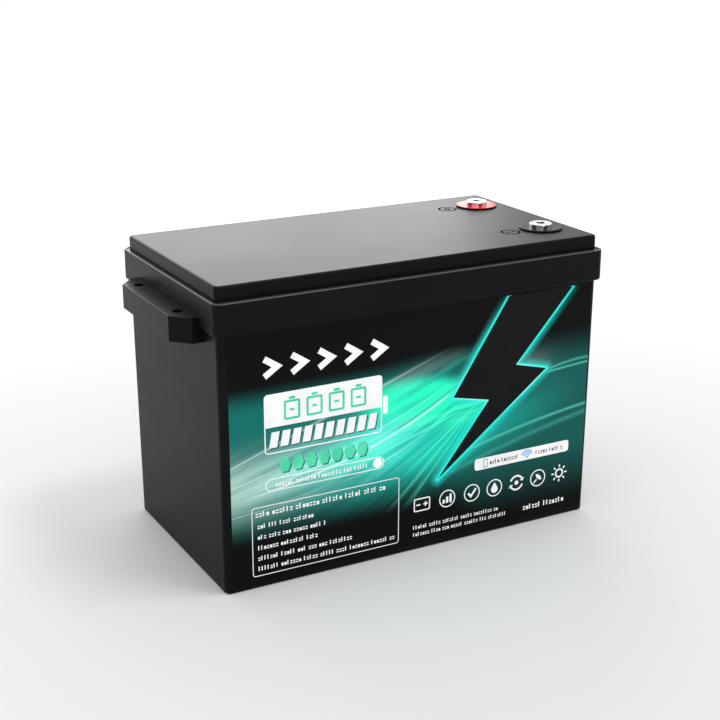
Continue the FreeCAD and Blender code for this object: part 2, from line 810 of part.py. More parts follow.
def series_busbar(index, y):
    """Copper link from one cell's pole to the next, arched in the middle."""
    first = cell_middle(index)
    second = cell_middle(index + 1)
    z = pad_top()
    t = BUSBAR_THICKNESS
    up = BUSBAR_ARCH
    foot = (second - first) / 2.0 - PAD_LENGTH / 2.0 - OVERSHOOT
    start = first + PAD_LENGTH / 2.0 + OVERSHOOT
    slope = foot / 3.0
    middle_end = start + 2 * foot
    profile = (
        (first - BUSBAR_OVERHANG, z), (start, z), (start + slope, z + up),
        (middle_end - slope, z + up), (middle_end, z), (second + BUSBAR_OVERHANG, z),
        (second + BUSBAR_OVERHANG, z + t), (middle_end, z + t), (middle_end - slope, z + up + t),
        (start + slope, z + up + t), (start, z + t), (first - BUSBAR_OVERHANG, z + t),
    )
    low = y - BUSBAR_WIDTH / 2.0
    bar = prism([V(px, low, pz) for px, pz in profile], V(0, BUSBAR_WIDTH, 0))
    for x in (first, second):
        bar = bar.cut(cylinder(STUD_RADIUS + STUD_CLEARANCE, z - OVERSHOOT, z + t + OVERSHOOT, x, y))
    return bar


def series_busbars():
    bars = []
    for index in range(CELL_COUNT - 1):
        bars.append(series_busbar(index, positive_side(index) * STUD_Y))
    return Part.makeCompound(bars)


def has_tag(index, y):
    """A sense tag sits on each positive pole and on the first negative pole."""
    return y * positive_side(index) > 0 or index == 0


def busbar_nuts():
    nuts = []
    for index, x, y in stud_places():
        z = pad_top() + BUSBAR_THICKNESS
        if has_tag(index, y):
            z += TAG_THICKNESS
        hole = STUD_RADIUS + FIT_GAP
        flange = ring(NUT_FLANGE_RADIUS, hole, z, z + NUT_FLANGE_HEIGHT, x, y)
        height = NUT_HEIGHT - NUT_FLANGE_HEIGHT
        nuts.append(flange.fuse(hex_nut(NUT_FLATS, height, hole, z + NUT_FLANGE_HEIGHT, x, y)))
    return Part.makeCompound(nuts)


# ---------------------------------------------------------------- management board

def board_holes():
    """Fixing points of the management board: y, z."""
    half = BOARD_WIDTH / 2.0 - BOARD_HOLE_INSET
    levels = (BOARD_BOTTOM + BOARD_HOLE_INSET, BOARD_TOP - BOARD_HOLE_INSET)
    return [(side * half, z) for side in (-1, 1) for z in levels]


def bracket_holes():
    half = BRACKET_WIDTH / 2.0 - BRACKET_HOLE_INSET
    levels = (BRACKET_BOTTOM + BRACKET_HOLE_INSET, BRACKET_TOP - BRACKET_HOLE_INSET)
    return [(side * half, z) for side in (-1, 1) for z in levels]


def screw_hole(x0, x1, y, z):
    """Cutter for a clearance hole through a plate between x0 and x1."""
    return cylinder_x(SCREW_RADIUS + SCREW_CLEARANCE, x0 - OVERSHOOT, x1 + OVERSHOOT, y, z)


def bms_bracket():
    half = BRACKET_WIDTH / 2.0
    end = BRACKET_X + BRACKET_THICKNESS
    plate = box(BRACKET_X, end, -half, half, BRACKET_BOTTOM, BRACKET_TOP)
    for y, z in board_holes() + bracket_holes():
        plate = plate.cut(screw_hole(BRACKET_X, end, y, z))
    window = box(
        BRACKET_X - OVERSHOOT, end + OVERSHOOT, -WINDOW_HALF, WINDOW_HALF,
        SINK_BOTTOM + WINDOW_INSET, SINK_TOP - WINDOW_INSET)
    return plate.cut(window)


def spacer_set(places, x0, x1):
    return Part.makeCompound([
        cylinder_x(SPACER_RADIUS, x0, x1, y, z).cut(screw_hole(x0, x1, y, z))
        for y, z in places])


def bracket_spacers():
    return spacer_set(bracket_holes(), right_plate_x() + END_PLATE, BRACKET_X)


def board_spacers():
    return spacer_set(board_holes(), BRACKET_X + BRACKET_THICKNESS, BOARD_X)


def pan_screw(x_head, x_tip, y, z):
    """Pan-head screw along -X with a cross recess."""
    crown = x_head + SCREW_HEAD_HEIGHT
    head = cylinder_x(SCREW_HEAD_RADIUS, x_head, crown, y, z)
    head = fillet_where(head, SCREW_HEAD_FILLET, lambda e: abs(e.BoundBox.XMin - crown) < SNAP)
    floor = crown - CROSS_DEPTH
    top = crown + OVERSHOOT
    a = CROSS_HALF_LENGTH
    b = CROSS_HALF_WIDTH
    head = head.cut(box(floor, top, y - a, y + a, z - b, z + b))
    head = head.cut(box(floor, top, y - b, y + b, z - a, z + a))
    return head.fuse(cylinder_x(SCREW_RADIUS, x_tip, x_head, y, z))


def bracket_screws():
    head = BRACKET_X + BRACKET_THICKNESS
    tip = BRACKET_X - SCREW_BITE
    return Part.makeCompound([pan_screw(head, tip, y, z) for y, z in bracket_holes()])


def board_screws():
    head = BOARD_X + BOARD_THICKNESS
    tip = BOARD_X - SCREW_BITE
    return Part.makeCompound([pan_screw(head, tip, y, z) for y, z in board_holes()])


def bms_board():
    half = BOARD_WIDTH / 2.0
    end = BOARD_X + BOARD_THICKNESS
    board = box(BOARD_X, end, -half, half, BOARD_BOTTOM, BOARD_TOP)
    for y, z in board_holes():
        board = board.cut(screw_hole(BOARD_X, end, y, z))
    return board


def bms_transistors():
    """Rows of power transistors between the board and the heat sink."""
    start = BOARD_X + BOARD_THICKNESS
    pitch = SINK_WIDTH / CHIP_COLUMNS
    chips = []
    for z in CHIP_ROWS:
        for column in range(CHIP_COLUMNS):
            y = (column - (CHIP_COLUMNS - 1) / 2.0) * pitch
            body = box(start, start + CHIP_HEIGHT, y - CHIP_WIDTH / 2.0, y + CHIP_WIDTH / 2.0,
                       z - CHIP_LENGTH / 2.0, z + CHIP_LENGTH / 2.0)
            legs_top = z - CHIP_LENGTH / 2.0
            for leg in (-1, 0, 1):
                leg_y = y + leg * CHIP_WIDTH / 3.0 - LEG_WIDTH / 2.0
                body = body.fuse(box(start, start + LEG_THICKNESS, leg_y, leg_y + LEG_WIDTH,
                                     legs_top - LEG_LENGTH, legs_top))
            chips.append(body)
    return Part.makeCompound(chips)


def thermal_pad():
    start = BOARD_X + BOARD_THICKNESS + CHIP_HEIGHT
    half = SINK_WIDTH / 2.0 - PAD_INSET
    return box(start, start + THERMAL_PAD, -half, half, SINK_BOTTOM + PAD_INSET, SINK_TOP - PAD_INSET)


def heat_sink():
    start = BOARD_X + BOARD_THICKNESS + CHIP_HEIGHT + THERMAL_PAD
    half = SINK_WIDTH / 2.0
    sink = box(start, start + SINK_BASE, -half, half, SINK_BOTTOM, SINK_TOP)
    pitch = (SINK_WIDTH - FIN_THICKNESS) / (FIN_COUNT - 1)
    fin_end = start + SINK_BASE + FIN_HEIGHT
    for index in range(FIN_COUNT):
        y = -half + index * pitch
        sink = sink.fuse(box(start + SINK_BASE, fin_end, y, y + FIN_THICKNESS, SINK_BOTTOM, SINK_TOP))
    return sink.removeSplitter()


def bms_shunts():
    """Row of bent metal strips that measure the current."""
    start = BOARD_X + BOARD_THICKNESS
    crown = start + SHUNT_RISE
    shunts = []
    for index in range(SHUNT_COUNT):
        y = (index - SHUNT_COUNT / 2.0) * SHUNT_PITCH
        end = y + SHUNT_WIDTH
        leg_low = box(start, crown, y, end, SHUNT_LOW, SHUNT_LOW + SHUNT_STRIP)
        leg_high = box(start, crown, y, end, SHUNT_HIGH - SHUNT_STRIP, SHUNT_HIGH)
        bridge = box(crown - SHUNT_STRIP, crown, y, end, SHUNT_LOW, SHUNT_HIGH)
        shunts.append(leg_low.fuse(leg_high).fuse(bridge).removeSplitter())
    return Part.makeCompound(shunts)


def bms_capacitors():
    start = BOARD_X + BOARD_THICKNESS
    return Part.makeCompound([
        cylinder_x(CAPACITOR_RADIUS, start, start + CAPACITOR_HEIGHT, y, CAPACITOR_Z)
        for y in CAPACITOR_PLACES])


def wireless_module():
    """Small radio board with a metal can, soldered to the management board."""
    start = BOARD_X + BOARD_THICKNESS
    face = start + RADIO_BOARD
    low_y = RADIO_Y - RADIO_WIDTH / 2.0
    high_y = RADIO_Y + RADIO_WIDTH / 2.0
    board = box(start, face, low_y, high_y, RADIO_BOTTOM, RADIO_TOP)
    can_low = RADIO_BOTTOM + RADIO_CAN_INSET
    can = box(
        face, face + RADIO_CAN_HEIGHT, low_y + RADIO_CAN_INSET, high_y - RADIO_CAN_INSET,
        can_low, can_low + RADIO_CAN_LENGTH)
    return board.fuse(can)


def power_tab(y):
    """Copper tab from the board's face up to a shelf over the end of the cells."""
    start = BOARD_X + BOARD_THICKNESS
    end = start + TAB_THICKNESS
    half = TAB_WIDTH / 2.0
    upright = box(start, end, y - half, y + half, SINK_TOP + TAB_RISE, TAB_SHELF_Z)
    shelf = box(TAB_SHELF_START, end, y - half, y + half, TAB_SHELF_Z - TAB_THICKNESS, TAB_SHELF_Z)
    tab = upright.fuse(shelf)
    low = TAB_SHELF_Z - TAB_THICKNESS - OVERSHOOT
    hole = cylinder(STUD_RADIUS + STUD_CLEARANCE, low, TAB_SHELF_Z + OVERSHOOT, TAB_BOLT_X, y)
    return tab.cut(hole).removeSplitter()


def power_tabs():
    return Part.makeCompound([power_tab(LINK_TAB_Y), power_tab(OUTPUT_TAB_Y)])


def tab_bolts():
    """Hexagon bolts from below with nuts above the lugs, one solid per fastener."""
    bolts = []
    head_top = TAB_SHELF_Z - TAB_THICKNESS
    nut_base = TAB_SHELF_Z + PALM_THICKNESS
    head_base = head_top - TAB_HEAD_HEIGHT
    shank_end = nut_base + TAB_BOLT_REACH
    hole = STUD_RADIUS + FIT_GAP
    for y in (LINK_TAB_Y, OUTPUT_TAB_Y):
        head = hex_nut(NUT_FLATS, TAB_HEAD_HEIGHT, STUD_RADIUS, head_base, TAB_BOLT_X, y)
        bolts.append(head.fuse(cylinder(STUD_RADIUS, head_base, shank_end, TAB_BOLT_X, y)))
        bolts.append(hex_nut(NUT_FLATS, TAB_NUT_HEIGHT, hole, nut_base, TAB_BOLT_X, y))
    return Part.makeCompound(bolts)


# ---------------------------------------------------------------- cables

def power_lug():
    return ring_lug(
        STUD_RADIUS + STUD_CLEARANCE, PALM_RADIUS, PALM_THICKNESS, BARREL_RADIUS,
        CABLE_RADIUS + FIT_GAP, BARREL_LENGTH, LUG_NECK)


def terminal_lug():
    return ring_lug(
        SHANK_RADIUS + FIT_GAP, TERMINAL_PALM_RADIUS, PALM_THICKNESS, BARREL_RADIUS,
        CABLE_RADIUS + FIT_GAP, BARREL_LENGTH, TERMINAL_LUG_NECK)


def lug_plane():
    """Upper side of the lugs on the terminal shanks."""
    return lock_nut_levels()[0]


def diagonal():
    return V(1, -1, 0).normalize()


def cable_lugs():
    low = pad_top()
    first = V(cell_middle(0), STUD_Y, low)
    last = V(cell_middle(CELL_COUNT - 1), STUD_Y, low)
    back = V(-1, 0, 0)
    lugs = [
        place(power_lug(), first, diagonal(), UP),
        place(power_lug(), last, ALONG_X, UP),
        place(power_lug(), V(TAB_BOLT_X, LINK_TAB_Y, TAB_SHELF_Z), back, UP),
        place(power_lug(), V(TAB_BOLT_X, OUTPUT_TAB_Y, TAB_SHELF_Z), ALONG_X, UP),
    ]
    for side in (-1, 1):
        seat = V(TERMINAL_X, side * TERMINAL_Y, lug_plane())
        lugs.append(place(terminal_lug(), seat, back, DOWN))
    return Part.makeCompound(lugs)


def link_cable():
    """From the first cell's negative pole, over the cells, to the management board."""
    z = pad_top() + BARREL_RADIUS
    start = V(cell_middle(0), STUD_Y, z) + diagonal() * (LUG_NECK + CABLE_ENTRY)
    corner_x = cell_middle(0) + STUD_Y - LINK_TAB_Y
    end_x = TAB_BOLT_X - LUG_NECK - CABLE_ENTRY
    points = [
        start,
        V(corner_x, LINK_TAB_Y, z),
        V(corner_x + LINK_FIRST_RUN, LINK_TAB_Y - LINK_SWAY, z),
        V(end_x - LINK_LAST_RUN, LINK_TAB_Y, z),
        V(end_x, LINK_TAB_Y, z),
    ]
    return tube(points, CABLE_RADIUS, "link_cable")


def rising_cable(start_x, start_y, end_side, name):
    """Gentle rise from a lug at cell level to the lug on a terminal shank."""
    low = pad_top() + BARREL_RADIUS
    high = lug_plane() - BARREL_RADIUS
    first_x = start_x + LUG_NECK + CABLE_ENTRY
    last_x = TERMINAL_X - TERMINAL_LUG_NECK - CABLE_ENTRY
    run = last_x - first_x
    points = [
        V(first_x, start_y, low),
        V(first_x + run * RISE_START, start_y, low),
        V(first_x + run * RISE_END, end_side * TERMINAL_Y, high),
        V(last_x, end_side * TERMINAL_Y, high),
    ]
    return tube(points, CABLE_RADIUS, name)


def positive_cable():
    return rising_cable(cell_middle(CELL_COUNT - 1), STUD_Y, 1, "positive_cable")


def negative_cable():
    return rising_cable(TAB_BOLT_X, OUTPUT_TAB_Y, -1, "negative_cable")


def sense_lanes():
    """Sense wires: cell, side of its pole, and the lane that the wire keeps over the cells."""
    return (
        (3, 1, 8.0),
        (1, 1, 5.0),
        (0, 1, 2.0),
        (2, -1, -8.0),
        (0, -1, -5.0),
    )


def tag_plane():
    return pad_top() + BUSBAR_THICKNESS


def tag_direction(index, side):
    """The tags point to the middle, apart from the first one, which points away from its cable."""
    if index == 0 and side > 0:
        return V(-1, 0, 0)
    return V(0, -side, 0)


def sense_tags():
    tag = ring_lug(
        STUD_RADIUS + STUD_CLEARANCE, TAG_RADIUS, TAG_THICKNESS, TAG_BARREL_RADIUS,
        WIRE_RADIUS + FIT_GAP, TAG_BARREL_LENGTH, TAG_NECK)
    tags = []
    for index, side, _ in sense_lanes():
        seat = V(cell_middle(index), side * STUD_Y, tag_plane())
        tags.append(place(tag, seat, tag_direction(index, side), UP))
    return Part.makeCompound(tags)


def sense_wire(index, side, lane):
    x = cell_middle(index)
    wire_z = tag_plane() + TAG_BARREL_RADIUS
    route = [V(PLUG_X, lane, PLUG_TOP), V(PLUG_X, lane, WIRE_Z)]
    if index == 0 and side > 0:
        turn_x = x - PAD_LENGTH
        route += [V(turn_x, lane, WIRE_Z), V(turn_x, STUD_Y - WIRE_SIDE_TURN, WIRE_Z),
                  V(turn_x, STUD_Y, wire_z), V(x - TAG_ENTRY, STUD_Y, wire_z)]
    else:
        route += [V(x, lane, WIRE_Z), V(x, side * (STUD_Y - WIRE_LIFT_START), WIRE_Z),
                  V(x, side * (STUD_Y - WIRE_LIFT_END), wire_z), V(x, side * (STUD_Y - TAG_ENTRY), wire_z)]
    return tube(route, WIRE_RADIUS, "sense_wire")


def sense_harness():
    return Part.makeCompound([sense_wire(index, side, lane) for index, side, lane in sense_lanes()])


def sense_plug():
    """Header on the board with the harness plug in it."""
    start = BOARD_X + BOARD_THICKNESS
    half = SENSE_PLUG_WIDTH / 2.0
    plug = box(start, PLUG_X + PLUG_DEPTH, -half, half, SINK_TOP + PLUG_RISE, PLUG_TOP)
    for _, _, lane in sense_lanes():
        hole_low = PLUG_TOP - PLUG_SOCKET
        plug = plug.cut(cylinder(WIRE_RADIUS, hole_low, PLUG_TOP + OVERSHOOT, PLUG_X, lane))
    return plug


def temperature_sensor():
    """Bead on top of the last cell, beside its vent."""
    x = cell_middle(CELL_COUNT - 1)
    return cylinder_x(BEAD_RADIUS, x - BEAD_HALF, x + BEAD_HALF, SENSOR_Y, CELL_TOP + BEAD_RADIUS)


def sensor_lead():
    z = CELL_TOP + BEAD_RADIUS
    start_x = cell_middle(CELL_COUNT - 1) + BEAD_HALF
    points = [
        V(start_x, SENSOR_Y, z),
        V(start_x + SENSOR_RUN, SENSOR_Y, z),
        V(PLUG_X, SENSOR_PLUG_Y, z),
        V(PLUG_X, SENSOR_PLUG_Y, PLUG_TOP),
    ]
    return tube(points, WIRE_RADIUS, "sensor_lead")


def sensor_plug():
    start = BOARD_X + BOARD_THICKNESS
    low_y = SENSOR_PLUG_Y - PLUG_HALF
    return box(start, PLUG_X + PLUG_DEPTH, low_y, low_y + 2 * PLUG_HALF, SINK_TOP + PLUG_RISE, PLUG_TOP)


# ---------------------------------------------------------------- foam and insulation

def bottom_pad():
    half = END_PLATE_WIDTH / 2.0 - PAD_INSET
    return box(left_plate_x(), right_plate_x() + END_PLATE, -half, half, FLOOR, CELL_BASE)


def end_pad():
    wall_x = -(FOOT_LENGTH / 2.0 - WALL) + PAD_GAP
    face_x = left_plate_x() - BAND_THICKNESS
    half = END_PLATE_WIDTH / 2.0 - 4 * PAD_INSET
    return box(wall_x, face_x, -half, half, CELL_BASE + PAD_INSET, END_PLATE_TOP)


def foam_spacer():
    """Foam block that keeps the stack from sliding towards the terminals."""
    start = right_plate_x() + END_PLATE + BAND_THICKNESS
    end = FOOT_LENGTH / 2.0 - WALL - PAD_GAP
    half = END_PLATE_WIDTH / 2.0 - 2 * PAD_INSET
    block = box(start, end, -half, half, FLOOR, SPACER_TOP)
    low = FLOOR - OVERSHOOT
    high = SPACER_TOP + OVERSHOOT
    for y in (-half / 2.0, half / 2.0):
        block = block.cut(cylinder(SPACER_HOLE_RADIUS, low, high, (start + end) / 2.0, y))
    return block


def top_board():
    half = END_PLATE_WIDTH / 2.0 - PAD_INSET
    end = TAB_SHELF_START - 2 * PAD_INSET
    return box(left_plate_x(), end, -half, half, TOP_BOARD_Z, TOP_BOARD_Z + TOP_BOARD_THICKNESS)


def top_pad():
    half = END_PLATE_WIDTH / 2.0 - 3 * PAD_INSET
    end = TAB_SHELF_START - 3 * PAD_INSET
    low = TOP_BOARD_Z + TOP_BOARD_THICKNESS
    pad = box(left_plate_x() + PAD_INSET, end, -half, half, low, TOP_PAD_TOP)
    for index in range(CELL_COUNT):
        x = cell_middle(index)
        pad = pad.cut(cylinder(TOP_PAD_HOLE_RADIUS, low - OVERSHOOT, TOP_PAD_TOP + OVERSHOOT, x, 0.0))
    return pad


# ---------------------------------------------------------------- the whole battery

def all_parts():
    parts = {
        "container": container(),
        "rope_lug_left": rope_lug(-1),
        "rope_lug_right": rope_lug(1),
        "lid": lid(),
        "lid_seal": lid_seal(),
        "terminal_post_positive": terminal_post(1),
        "terminal_post_negative": terminal_post(-1),
        "terminal_disc_positive": terminal_disc(1),
        "terminal_disc_negative": terminal_disc(-1),
        "terminal_o_rings": terminal_o_rings(),
        "terminal_washers": terminal_washers(),
        "terminal_lock_nuts": terminal_lock_nuts(),
        "front_label": label(-1),
        "rear_label": label(1),
        "cell_gaskets": cell_gaskets(),
        "cell_poles": cell_poles(),
        "cell_vents": cell_vents(),
        "cell_sheets": cell_sheets(),
        "side_sheets": side_sheets(),
        "end_plate_left": end_plate(left_plate_x()),
        "end_plate_right": end_plate(right_plate_x()),
        "clamp_bands": clamp_bands(),
        "band_clips": band_clips(),
        "series_busbars": series_busbars(),
        "busbar_nuts": busbar_nuts(),
        "bms_bracket": bms_bracket(),
        "bracket_spacers": bracket_spacers(),
        "bracket_screws": bracket_screws(),
        "bms_board": bms_board(),
        "board_spacers": board_spacers(),
        "board_screws": board_screws(),
        "bms_transistors": bms_transistors(),
        "thermal_pad": thermal_pad(),
        "heat_sink": heat_sink(),
        "bms_shunts": bms_shunts(),
        "bms_capacitors": bms_capacitors(),
        "wireless_module": wireless_module(),
        "power_tabs": power_tabs(),
        "tab_bolts": tab_bolts(),
        "cable_lugs": cable_lugs(),
        "link_cable": link_cable(),
        "positive_cable": positive_cable(),
        "negative_cable": negative_cable(),
        "sense_harness": sense_harness(),
        "sense_tags": sense_tags(),
        "sense_plug": sense_plug(),
        "temperature_sensor": temperature_sensor(),
        "sensor_lead": sensor_lead(),
        "sensor_plug": sensor_plug(),
        "bottom_pad": bottom_pad(),
        "end_pad": end_pad(),
        "foam_spacer": foam_spacer(),
        "top_board": top_board(),
        "top_pad": top_pad(),
    }
    for index in range(CELL_COUNT):
        parts["cell_%d" % (index + 1)] = cell_can(index)
    return parts


os.makedirs("parts", exist_ok=True)
for node, shape in all_parts().items():
    if not shape.isValid() or not shape.Solids:
        print("CHECK", node, "valid", shape.isValid(), "solids", len(shape.Solids))
    shape.exportStep("parts/" + node + ".step")
    print(node, "solids", len(shape.Solids), "volume %.0f" % shape.Volume)
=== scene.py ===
import math
import random

import bmesh
import bpy
from mathutils import Matrix, Vector


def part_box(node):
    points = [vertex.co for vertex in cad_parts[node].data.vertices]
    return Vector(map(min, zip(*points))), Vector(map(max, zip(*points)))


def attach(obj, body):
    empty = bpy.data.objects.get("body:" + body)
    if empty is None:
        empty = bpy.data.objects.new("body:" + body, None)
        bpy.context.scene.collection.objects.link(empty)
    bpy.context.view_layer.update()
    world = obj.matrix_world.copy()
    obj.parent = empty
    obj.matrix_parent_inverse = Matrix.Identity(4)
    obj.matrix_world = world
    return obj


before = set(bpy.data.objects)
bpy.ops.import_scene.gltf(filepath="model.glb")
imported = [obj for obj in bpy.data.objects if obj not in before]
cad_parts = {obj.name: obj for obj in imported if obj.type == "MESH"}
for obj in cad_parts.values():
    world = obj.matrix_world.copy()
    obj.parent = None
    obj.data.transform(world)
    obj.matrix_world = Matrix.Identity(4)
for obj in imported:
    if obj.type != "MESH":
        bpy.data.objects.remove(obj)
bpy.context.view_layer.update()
FILM_LOW, FILM_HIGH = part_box("front_label")
POST_LOW, POST_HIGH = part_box("terminal_post_positive")
RIM_END, _, RIM_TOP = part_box("container")[1]
LUG_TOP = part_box("rope_lug_left")[1].z
POST_MIDDLE = (POST_LOW + POST_HIGH) / 2.0

# Units: metres, apart from the label's artwork, whose unit is very nearly a millimetre.
MM = 0.001

# Camera and studio
CAMERA_PLACE = Vector((-0.5581, -1.0252, 0.5304))
CAMERA_AZIMUTH = -28.45
CAMERA_ELEVATION = 18.48
CAMERA_LENS = 71.1
SENSOR_WIDTH = 36.0
NEAREST_SEEN = 0.01
FARTHEST_SEEN = 200.0
FLOOR_HALF = 30.0
WORLD_WHITE = (1.0, 1.0, 1.0)
WORLD_STRENGTH = 1.02

# Case and lid: the heights of the lid's top and of the ledge round it, how far the polarity
# marks stand from the posts, and where the matt disc round each mark starts and stops fading
LID_TOP = 251.3 * MM
LEDGE_TOP = RIM_TOP - 0.6 * MM
MARK_SETBACK = 31.0 * MM
MARK_FADES = (9.4 * MM, 10.2 * MM)
BLACK_PLASTIC = (0.0040, 0.0040, 0.0043)
# Grey that edges are mixed towards as painted light: a highlight on the case's lip and the ledge round
# the lid
PAINTED_LIGHT_GREY = (0.055, 0.055, 0.056)

# Fine patterns: the distance from one line to the next, in metres
LATHE_PITCH = 0.00035
WEAVE_PITCH = 0.0012
MESH_PITCH = 0.0004

# Label: its artwork is drawn on a sheet with these edges, x to the right and z up
ART_LEFT = -167.4
ART_RIGHT = 171.6
ART_LOW = 4.5
ART_UNIT = (FILM_HIGH.x - FILM_LOW.x) / (ART_RIGHT - ART_LEFT)
WALL_LEAN = 0.9 / 213.1
RAYS_MEET = (62.0, 124.0)
FAN_RISE = 0.345
INK_BACK = -0.05
INK_LOW = 0.05
INK_MIDDLE = 0.09
INK_HIGH = 0.13
ARC_STEPS = 8

# Lightning bolt: a plain zigzag, clockwise from its top left corner
BOLT = (
    (87.0, 210.6), (151.5, 210.6), (96.0, 149.0), (127.5, 141.0),
    (20.7, 59.3), (70.0, 122.0), (34.5, 130.0),
)
BOLT_TIP = BOLT[4]
BOLT_EDGE_SLOPE = 0.765

# Thin lines of light: where each starts, its rise and bend, its width and its strength
LIGHT_ARCS = (
    ((127.0, 139.0), 0.26, -0.003, 1.1, 0.6),
    ((127.0, 137.0), 0.10, -0.0006, 0.9, 0.7),
    ((34.0, 76.0), 0.27, -0.0006, 1.3, 0.6),
    ((30.0, 62.0), 0.30, -0.0005, 2.2, 0.25),
)

# Colours of the film and of the light on it
FILM_BLACK = (0.0035, 0.0035, 0.0038)
FILM_TEAL = (0.007, 0.150, 0.130)
FILM_DARK_TEAL = (0.009, 0.098, 0.086)
LIGHT_CYAN = (0.012, 0.64, 0.49)
LIGHT_MINT = (0.026, 0.97, 0.56)
LIGHT_WHITE = (0.92, 1.0, 0.98)
SHEAF_PALE = (0.40, 0.64, 0.58)
SHEAF_CYAN = (0.12, 0.95, 0.82)
FOLD_TEAL = (0.010, 0.36, 0.29)
GAP_TEAL = (0.010, 0.33, 0.27)
RAY_MINT = (0.14, 1.0, 0.72)
RAY_EDGE = (0.45, 0.66, 0.62)
FAR_CYAN = (0.012, 0.62, 0.50)
HAZE_GREY = (0.45, 0.62, 0.60)
ARC_CYAN = (0.10, 0.62, 0.52)
HALO_CYAN = (0.03, 0.78, 0.70)
BOLT_RIM_CYAN = (0.02, 0.86, 0.74)
HOT_WHITE = (0.80, 1.0, 0.98)

# Inks: the darkest and the lightest colour of each
INKS = {
    "white": ((0.86, 0.87, 0.87), (0.93, 0.94, 0.94)),
    "shadow": ((0.004, 0.07, 0.06), (0.006, 0.10, 0.085)),
    "green": ((0.05, 0.58, 0.33), (0.07, 0.68, 0.40)),
    "mint": ((0.07, 0.62, 0.36), (0.12, 0.74, 0.46)),
    "grey": ((0.07, 0.07, 0.07), (0.11, 0.11, 0.11)),
    "blue": ((0.02, 0.22, 0.78), (0.03, 0.28, 0.90)),
    "bolt": ((0.0040, 0.0040, 0.0042), (0.0052, 0.0052, 0.0055)),
}

# Symbols: the ring round most of them
ICON_OUTER = 8.0
ICON_INNER = 7.0
ICON_HEIGHT = 39.5
ROUND_STEPS = 6 * ARC_STEPS
BOW_STEPS = 3 * ARC_STEPS

# Terminals: the painted dark reflection streaks round each post, the sleeve's section and the thread in
# it
PAINTED_REFLECTION_COUNT = 6.0
PAINTED_REFLECTION_START = math.radians(240.0)
PAINTED_REFLECTION_DARK = (0.04, 0.04, 0.04)
BORE_RADIUS = 3.4 * MM
SLEEVE_SECTION = (
    (3.78 * MM, -0.15 * MM), (3.25 * MM, -0.70 * MM), (3.25 * MM, -13.0 * MM),
    (3.60 * MM, -13.0 * MM), (3.90 * MM, -0.30 * MM),
)
THREAD_PITCH = 1.25 * MM
THREAD_RIDGE = 0.55 * MM
THREAD_ROOT = 0.48
THREAD_START = 1.2 * MM
THREAD_STEPS = 48
THREAD_TURNS = 9
WELD_DISTANCE = 0.0005 * MM

# Plain finishes: dark and light colour, size of the patches, least and most roughness,
# size and depth of the grain
PLAIN_FINISHES = {
    "seal_rubber": ((0.012, 0.012, 0.012), (0.022, 0.022, 0.022), 0.004, (0.75, 0.9), 0.0004, 0.00003),
    "cell_film": ((0.012, 0.09, 0.42), (0.02, 0.13, 0.54), 0.02, (0.18, 0.32), 0.003, 0.00008),
    "black_plastic": ((0.014, 0.014, 0.015), (0.026, 0.026, 0.028), 0.006, (0.45, 0.6), 0.0005, 0.00003),
    "thermal_grey": ((0.36, 0.38, 0.41), (0.46, 0.48, 0.51), 0.006, (0.7, 0.85), 0.0007, 0.00004),
    "wire_black": ((0.012, 0.012, 0.012), (0.024, 0.024, 0.024), 0.01, (0.45, 0.6), 0.0006, 0.00002),
    "wire_red": ((0.50, 0.010, 0.010), (0.64, 0.022, 0.022), 0.01, (0.45, 0.6), 0.0006, 0.00002),
    "wire_white": ((0.74, 0.74, 0.72), (0.84, 0.84, 0.82), 0.01, (0.45, 0.6), 0.0006, 0.00002),
    "plug_white": ((0.76, 0.74, 0.68), (0.85, 0.83, 0.78), 0.006, (0.4, 0.55), 0.0006, 0.00002),
}
# The thread in each post's bore is real, but its near-black colour is painted shade
THREAD_PAINTED_SHADE_FINISH = ((0.004, 0.004, 0.004), (0.010, 0.010, 0.010), 0.002, (0.6, 0.8), 0.0004, 0.00001)

# Metals: dark and light colour, least and most roughness
METAL_FINISHES = {
    "aluminium": ((0.70, 0.71, 0.72), (0.82, 0.83, 0.84), (0.25, 0.42)),
    "steel": ((0.55, 0.55, 0.57), (0.68, 0.68, 0.70), (0.28, 0.45)),
    "copper": ((0.72, 0.36, 0.22), (0.85, 0.47, 0.31), (0.22, 0.4)),
    "tinned_copper": ((0.64, 0.64, 0.64), (0.78, 0.78, 0.78), (0.2, 0.34)),
}


# ---------------------------------------------------------------- surface fields

class Field:
    """A number that varies over a surface, built from math nodes as the formula is written."""

    def __init__(self, tree, source):
        self.tree = tree
        self.source = source

    def math(self, operation, *others, clamp=False):
        node = self.tree.nodes.new("ShaderNodeMath")
        node.operation = operation
        node.use_clamp = clamp
        for index, value in enumerate((self, *others)):
            plug(self.tree, value, node.inputs[index])
        return Field(self.tree, node.outputs[0])

    def __add__(self, other):
        return self.math("ADD", other)

    def __sub__(self, other):
        return self.math("SUBTRACT", other)

    def __rsub__(self, other):
        return (self * -1.0) + other

    def __mul__(self, other):
        return self.math("MULTIPLY", other)

    def __truediv__(self, other):
        return self.math("DIVIDE", other)

    __radd__ = __add__

    def clamp(self):
        return self.math("ADD", 0.0, clamp=True)

    def ramp(self, low, high):
        """0 at low, 1 at high, and smooth between them."""
        node = self.tree.nodes.new("ShaderNodeMapRange")
        node.interpolation_type = "SMOOTHSTEP"
        plug(self.tree, self, node.inputs["Value"])
        plug(self.tree, low, node.inputs["From Min"])
        plug(self.tree, high, node.inputs["From Max"])
        return Field(self.tree, node.outputs[0])

    def bell(self, middle, width):
        """1 at the middle, falling off on both sides."""
        offset = (self - middle) / width
        return (offset * offset * -1.0).math("EXPONENT")


def plug(tree, value, socket):
    """Feeds a field, a colour or a plain number to a node's input."""
    if isinstance(value, Field):
        tree.links.new(value.source, socket)
    elif isinstance(value, (int, float)):
        socket.default_value = value
    elif isinstance(value, tuple):
        socket.default_value = (*value, 1.0)
    else:
        tree.links.new(value, socket)


